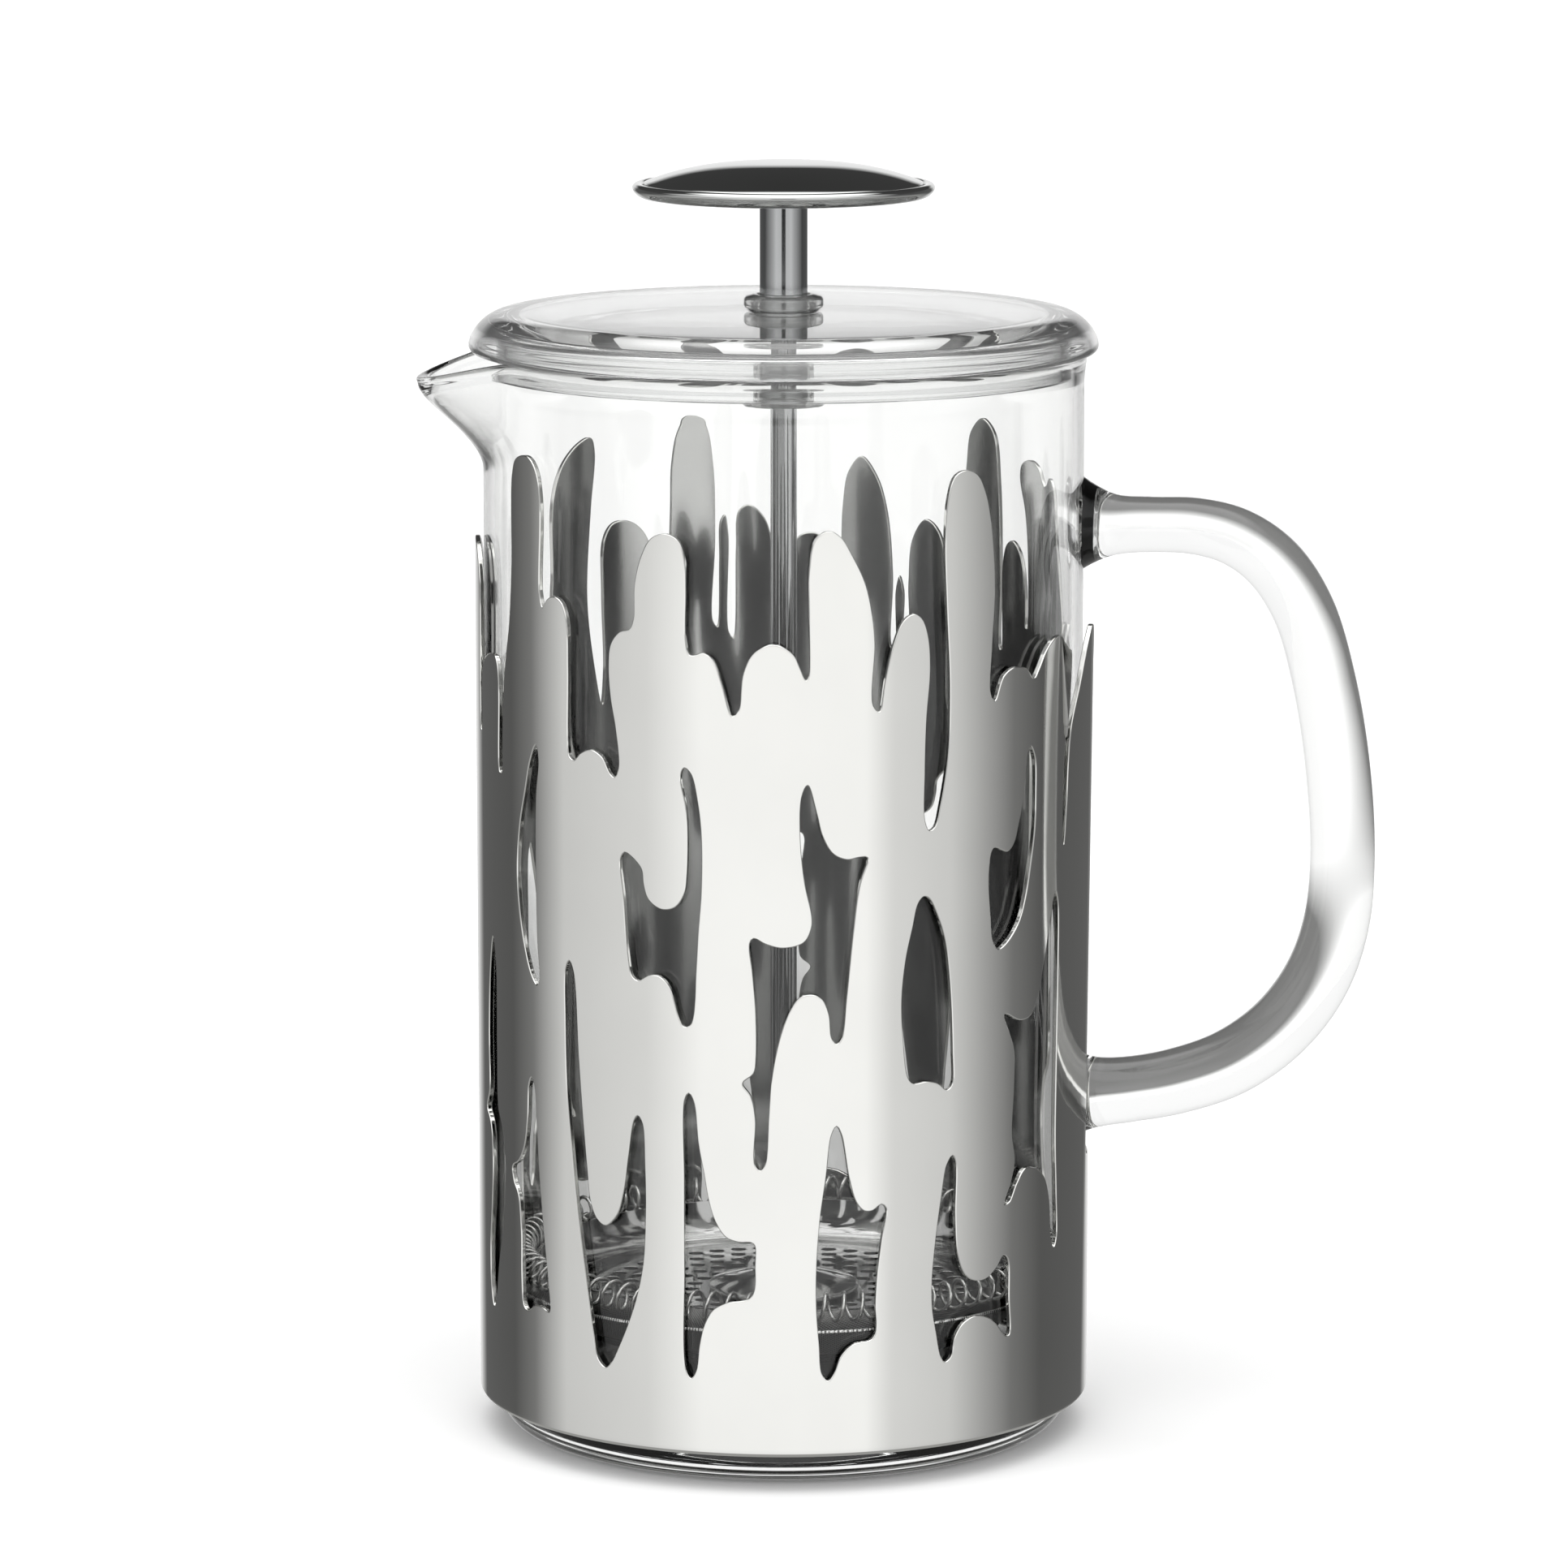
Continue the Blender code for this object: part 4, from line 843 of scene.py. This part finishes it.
# ---- plunger ----
def build_plunger():
    dome = [(r, KNOB_TOP - 3.45 * (r / 22.8) ** 2.7) for r in np.linspace(0, 22.3, 34)]
    cap = [(22.48, 203.84), (22.53, 203.7), (22.4, 203.32), (22.15, 203.25), (19, 204.1), (12, 205.5), (0, 206.1)]
    finish_mesh("knob_cap", lathe_mesh(dome + cap, 160, False), KNOB_STEEL, "plunger")
    roll = curve_through([
        (22.62, 203.1), (22.72, 203.45), (22.95, 203.72), (23.4, 203.84), (24.0, 203.7), (24.37, 203.25),
        (24.28, 202.7), (23.85, 202.15), (23.35, 201.75), (22.6, 201.5), (21.5, 201.38),
    ], step=0.2)
    lathe("knob_base", [(0, 205.75, 0), (12, 205.15, 6), (19, 203.75, 3), (22.1, 202.85, 0.2)] + unfilleted(roll) + [
        (4.2, 200.6, 0.5), (2.5, 200.6, 0.2), (2.5, 204.2, 0.2), (0, 204.2, 0),
    ], KNOB_STEEL, "plunger", 160, closed=False)
    lathe("rod_ferrule", [
        (2.5, 172.4, 0.1), (3.9, 172.4, 0.35), (3.9, 200.2, 0.15), (2.5, 200.2, 0.1),
    ], FERRULE_STEEL, "plunger", 72)
    lathe("plunger_rod", [
        (0, 14.6, 0), (2.15, 14.6, 0.4), (2.15, 203.8, 0.3), (0, 203.8, 0),
    ], ROD_STEEL, "plunger", 56, closed=False)
    lathe("rod_collar", [
        (2.5, 21.8, 0.1), (12.4, 21.8, 0.3), (12.3, 22.6, 0.35), (5.0, 24.6, 1.2), (3.9, 25.6, 1.0), (3.9, 27.3, 0.35),
        (2.5, 27.3, 0.1),
    ], PLATE_STEEL, "plunger", 96)


# ---- filter stack ----
def circle(r, n, x=0, y=0):
    return [(x + r * math.cos(2 * math.pi * i / n), y + r * math.sin(2 * math.pi * i / n)) for i in range(n)]


def plate(name, loops, creases, height, thick, body):
    """A flat or raised sheet-metal disc with holes. It bends along the creases."""
    verts, edges = [], []
    for line in loops + creases:
        edges += chain_edges(len(verts), len(line), True)
        verts += line
    xy, tri, mid, _ = triangulated(verts, edges, 1e-4, 1e-7)
    tri = inside(tri, mid, [pair for loop in loops for pair in zip(loop, loop[1:] + loop[:1])])
    bm = bmesh.new()
    sides = [
        {int(i): bm.verts.new(Vector((*xy[i], height(math.hypot(*xy[i])) + up)) * MM) for i in np.unique(tri)}
        for up in (0, thick)
    ]
    once = set()
    for f in tri:
        f = [int(i) for i in f]
        bm.faces.new([sides[1][i] for i in f])
        bm.faces.new([sides[0][i] for i in reversed(f)])
        for a, b in zip(f, f[1:] + f[:1]):
            if (b, a) in once:
                once.remove((b, a))
            else:
                once.add((a, b))
    for a, b in sorted(once):
        bm.faces.new([sides[1][b], sides[1][a], sides[0][a], sides[0][b]])
    obj = finish_mesh(name, bm, PLATE_STEEL, body, angle=35)
    edge = obj.modifiers.new("soft_edges", "BEVEL")
    edge.width, edge.segments, edge.limit_method, edge.angle_limit = 0.08 * MM, 2, "ANGLE", math.radians(50)


def rim_rise(r):
    """How far the spring plate's rim has turned up at radius r."""
    return 6.2 * min(max((r - 33.5) / 6.8, 0), 1) ** 4


def window(centre, half, low, high):
    """Opening of the cross plate between two spokes: a wide outer arc and a slightly narrower inner one."""
    a0, a1 = centre - half, centre + half
    outer = [(high, a0 + (a1 - a0) * i / 12) for i in range(13)]
    inner = [(low, a1 - 0.06 - (a1 - a0 - 0.12) * i / 4) for i in range(5)]
    return [(r * math.cos(a), r * math.sin(a)) for r, a in outer + inner]


def build_rim_spring():
    steps = COILS * COIL_STEPS
    middle = FILTER_R - 0.42 - COIL_R
    path = []
    for k in range(steps):
        a, w = 2 * math.pi * k / steps, 2 * math.pi * k / COIL_STEPS
        r = middle + COIL_R * math.cos(w)
        path.append(Vector((r * math.cos(a), r * math.sin(a), SPRING_Z + COIL_R * math.sin(w))))
    bm = bmesh.new()
    rings = []
    for k, p in enumerate(path):
        along = (path[(k + 1) % steps] - path[k - 1]).normalized()
        a = 2 * math.pi * k / steps
        out = (p - Vector((middle * math.cos(a), middle * math.sin(a), SPRING_Z))).normalized()
        out = (out - along * out.dot(along)).normalized()
        side = along.cross(out)
        rings.append([
            bm.verts.new((p + out * (WIRE_R * math.cos(t)) + side * (WIRE_R * math.sin(t))) * MM)
            for t in (2 * math.pi * i / WIRE_SIDES for i in range(WIRE_SIDES))
        ])
    bridged(bm, rings, closed=True)
    finish_mesh("rim_spring", bm, SPRING_STEEL, "filter_stack", angle=180)


def build_filter():
    holes = []
    for count, at_r, turn in ((24, 15.2, 0.0), (30, 18.8, 0.5), (36, 22.4, 0.0), (42, 26.0, 0.5), (48, 29.6, 0.0)):
        for i in range(count):
            a = 2 * math.pi * (i + turn) / count
            holes.append(circle(1.3, 14, at_r * math.cos(a), at_r * math.sin(a)))
    creases = [circle(r, 144) for r in (32.5, 34.5, 35.5, 36.5, 37.2, 37.9, 38.5, 39.0, 39.4, 39.85)]
    plate(
        "spring_plate", [circle(40.3, 144), circle(2.6, 32)] + holes, creases,
        lambda r: PLATE_Z + rim_rise(r), 0.8, "filter_stack",
    )
    windows = [window(math.radians(60 * i), 0.37, 11.5, 31.5) for i in range(6)]
    plate("cross_plate", [circle(36.5, 144), circle(5.3, 40)] + windows, [], lambda r: CROSS_Z, 1.0, "cross")
    lathe("cross_hub", [
        (2.5, 15.2, 0.2), (6.2, 15.2, 0.6), (6.2, 17.5, 0.2), (5.0, 17.5, 0.1), (5.0, 19.0, 0.2), (2.5, 19.0, 0.1),
    ], PLATE_STEEL, "cross", 64)
    lathe("filter_cloth", [
        (2.6, MESH_Z, 0.2), (38.0, MESH_Z, 5), (45.8, MESH_Z + 5.6, 0.2), (45.5, MESH_Z + 6.1, 0.2),
        (37.8, MESH_Z + 0.6, 5), (2.6, MESH_Z + 0.6, 0.2),
    ], CLOTH, "filter_stack", 144)
    build_rim_spring()


# ---- floor, light and camera ----
def build_floor():
    bm = bmesh.new()
    bmesh.ops.create_grid(bm, x_segments=1, y_segments=1, size=GROUND_HALF)
    floor = linked("floor", mesh_from(bm, "floor"))
    paper, _, s = new_material("floor_paper", Roughness=0.9, Specular_IOR_Level=0.0, Emission_Strength=0.14)
    s.inputs["Base Color"].default_value = (0.96, 0.96, 0.96, 1)
    s.inputs["Emission Color"].default_value = (1, 1, 1, 1)
    floor.data.materials.append(paper)
    floor.location = (0, 0, -0.0002)
    floor.visible_glossy = floor.visible_transmission = False
    return floor


def build_table(mesh):
    """What the glass shows of the table. Only light that has gone through glass sees it. Through one solid piece, such
    as the handle, it is grey near the jug and white further off, and through both of the jug's walls it is paler. In
    the mirror surfaces behind the glass it is grey, with painted light lying on it in front, more to the right."""
    table = linked("table", mesh)
    top, tree, s = new_material("table_top", Roughness=0.9, Specular_IOR_Level=0.0)
    where = node(tree, "ShaderNodeTexCoord").outputs["Object"]
    reach = node(tree, "ShaderNodeSeparateXYZ")
    tree.links.new(where, reach.inputs[0])
    distance = node(tree, "ShaderNodeVectorMath", operation="LENGTH")
    tree.links.new(where, distance.inputs[0])
    ray = node(tree, "ShaderNodeLightPath").outputs
    sweep = ranged(tree, reach.outputs["Y"], 0.0, 1.0, 0.36, 0.56)
    beyond = ranged(tree, distance.outputs["Value"], 0.0, 1.0, 0.36, 0.56)
    two_walls = ranged(tree, ray["Transmission Depth"], 0.0, 1.0, 2.9, 3.1)
    mirrored = ranged(tree, ray["Glossy Depth"], 0.0, 1.0, 0.4, 0.6)
    # Painted light: seen in the mirrors, the table's colour is paler in front and more to the right, as a pool of
    # light.
    in_front = ranged(tree, reach.outputs["Y"], 1.0, 0.0, -0.55, -0.25)
    to_the_right = ranged(tree, reach.outputs["X"], 0.0, 1.0, 0.15, 0.35)
    straight = mixed(tree, beyond, mixed(tree, two_walls, TABLE_GREY, TABLE_PALE), TABLE_WHITE)
    behind = mixed(tree, sweep, TABLE_GREY, TABLE_WHITE)
    painted_light = mixed(tree, in_front, behind, mixed(tree, to_the_right, TABLE_PAINTED_LIGHT_MIDDLE, TABLE_WHITE))
    tree.links.new(mixed(tree, mirrored, straight, painted_light), s.inputs["Base Color"])
    table.data.materials.clear()
    table.data.materials.append(top)
    table.location = (0, 0, -0.0001)
    table.visible_camera = table.visible_diffuse = table.visible_glossy = table.visible_shadow = False
    return table


def both_ways(left, right=None):
    """Stops from 0 in front to 1 behind, down the left side and the right one."""
    out = [(0.5 - 0.5 * p, v) for p, v in reversed(left)]
    return out + [(0.5 + 0.5 * p, v) for p, v in (right or left) if p > 0]


def build_studio():
    """The room's light, by its direction. Round the room, 0 is in front and 1 behind; up runs from 0 below to 1."""
    world = bpy.data.worlds.new("studio")
    bpy.context.scene.world = world
    world.use_nodes = True
    tree = world.node_tree
    split = node(tree, "ShaderNodeSeparateXYZ")
    tree.links.new(node(tree, "ShaderNodeTexCoord").outputs["Generated"], split.inputs[0])
    x, y, z = split.outputs
    bearing = calculated(tree, "ARCTAN2", x, calculated(tree, "MULTIPLY", y, -1.0))
    turn = calculated(tree, "ADD", calculated(tree, "DIVIDE", bearing, 2 * math.pi), 0.5)
    up = calculated(tree, "ADD", calculated(tree, "DIVIDE", calculated(tree, "ARCSINE", z), math.pi), 0.5)
    # The table the jug stands on, seen in its sides: bright in front, grey to the sides, dark behind them and bright
    # again right behind.
    front = [(0.0, 0.92), (0.17, 0.91)]
    rear = [(0.86, 0.10), (0.93, 0.6), (1.0, 0.62)]
    low = ramped(tree, turn, both_ways(
        front + [(0.29, 0.66), (0.50, 0.56), (0.60, 0.17), (0.68, 0.085)] + rear,
        front + [(0.23, 0.66), (0.36, 0.58), (0.45, 0.34), (0.53, 0.16), (0.63, 0.085)] + rear,
    ))
    # At eye level: grey with a dark stand in the middle of the front, and the sweep behind.
    level = ramped(tree, turn, both_ways([
        (0.0, 0.02), (0.045, 0.03), (0.058, 0.55), (0.20, 0.62), (0.30, 0.40), (0.46, 0.18), (0.55, 0.07),
        (0.84, 0.10), (0.90, 0.70), (1.0, 0.76),
    ]))
    # Higher up: softboxes in front, and the dark studio behind.
    high = ramped(tree, turn, both_ways(
        [(0.0, 1.0), (0.33, 0.95), (0.51, 0.6), (0.61, 0.06), (1.0, 0.04)],
        [(0.0, 1.0), (0.30, 0.95), (0.46, 0.6), (0.56, 0.06), (1.0, 0.04)],
    ))
    below = ramped(tree, up, [(0.0, 1.0), (0.36, 1.0), (0.42, 0.0), (1.0, 0.0)])
    above, near, top = (
        ramped(tree, up, [(0.0, 0.0), (start, 0.0), (end, 1.0), (1.0, 1.0)])
        for start, end in ((0.4656, 0.4680), (0.552, 0.583), (0.77, 0.83))
    )
    sides = mixed(tree, near, mixed(tree, above, mixed(tree, below, low, UNDERNEATH), level), high)
    everywhere = mixed(tree, top, sides, OVERHEAD)
    # Seen by the camera, or straight through the glass, the room is all white sweep.
    ray = node(tree, "ShaderNodeLightPath").outputs
    unmirrored = calculated(tree, "LESS_THAN", ray["Glossy Depth"], 0.5)
    straight = calculated(tree, "MULTIPLY", ray["Is Transmission Ray"], unmirrored)
    straight = calculated(tree, "MAXIMUM", straight, ray["Is Camera Ray"])
    back = tree.nodes["Background"]
    tree.links.new(mixed(tree, straight, everywhere, SWEEP_WHITE), back.inputs["Color"])
    back.inputs["Strength"].default_value = STUDIO_STRENGTH


def place_camera():
    lens = bpy.data.cameras.new("camera")
    lens.lens, lens.sensor_width, lens.clip_end = CAMERA_LENS, 36.0, 50
    camera = linked("camera", lens)
    camera.location = CAMERA_AT
    camera.rotation_euler = (math.radians(CAMERA_TILT), 0, 0)
    bpy.context.scene.camera = camera
    bpy.context.scene.view_settings.view_transform = "Standard"


build_jug()
build_sleeve()
build_lid()
build_plunger()
build_filter()
floor = build_floor()
table = build_table(floor.data.copy())
# The sleeve stays on the table when the jug comes out of it, so what it stands on goes with it.
for ground in (floor, table):
    ground.parent = frame["bodies"]["sleeve"]
build_studio()
place_camera()

bpy.context.view_layer.update()
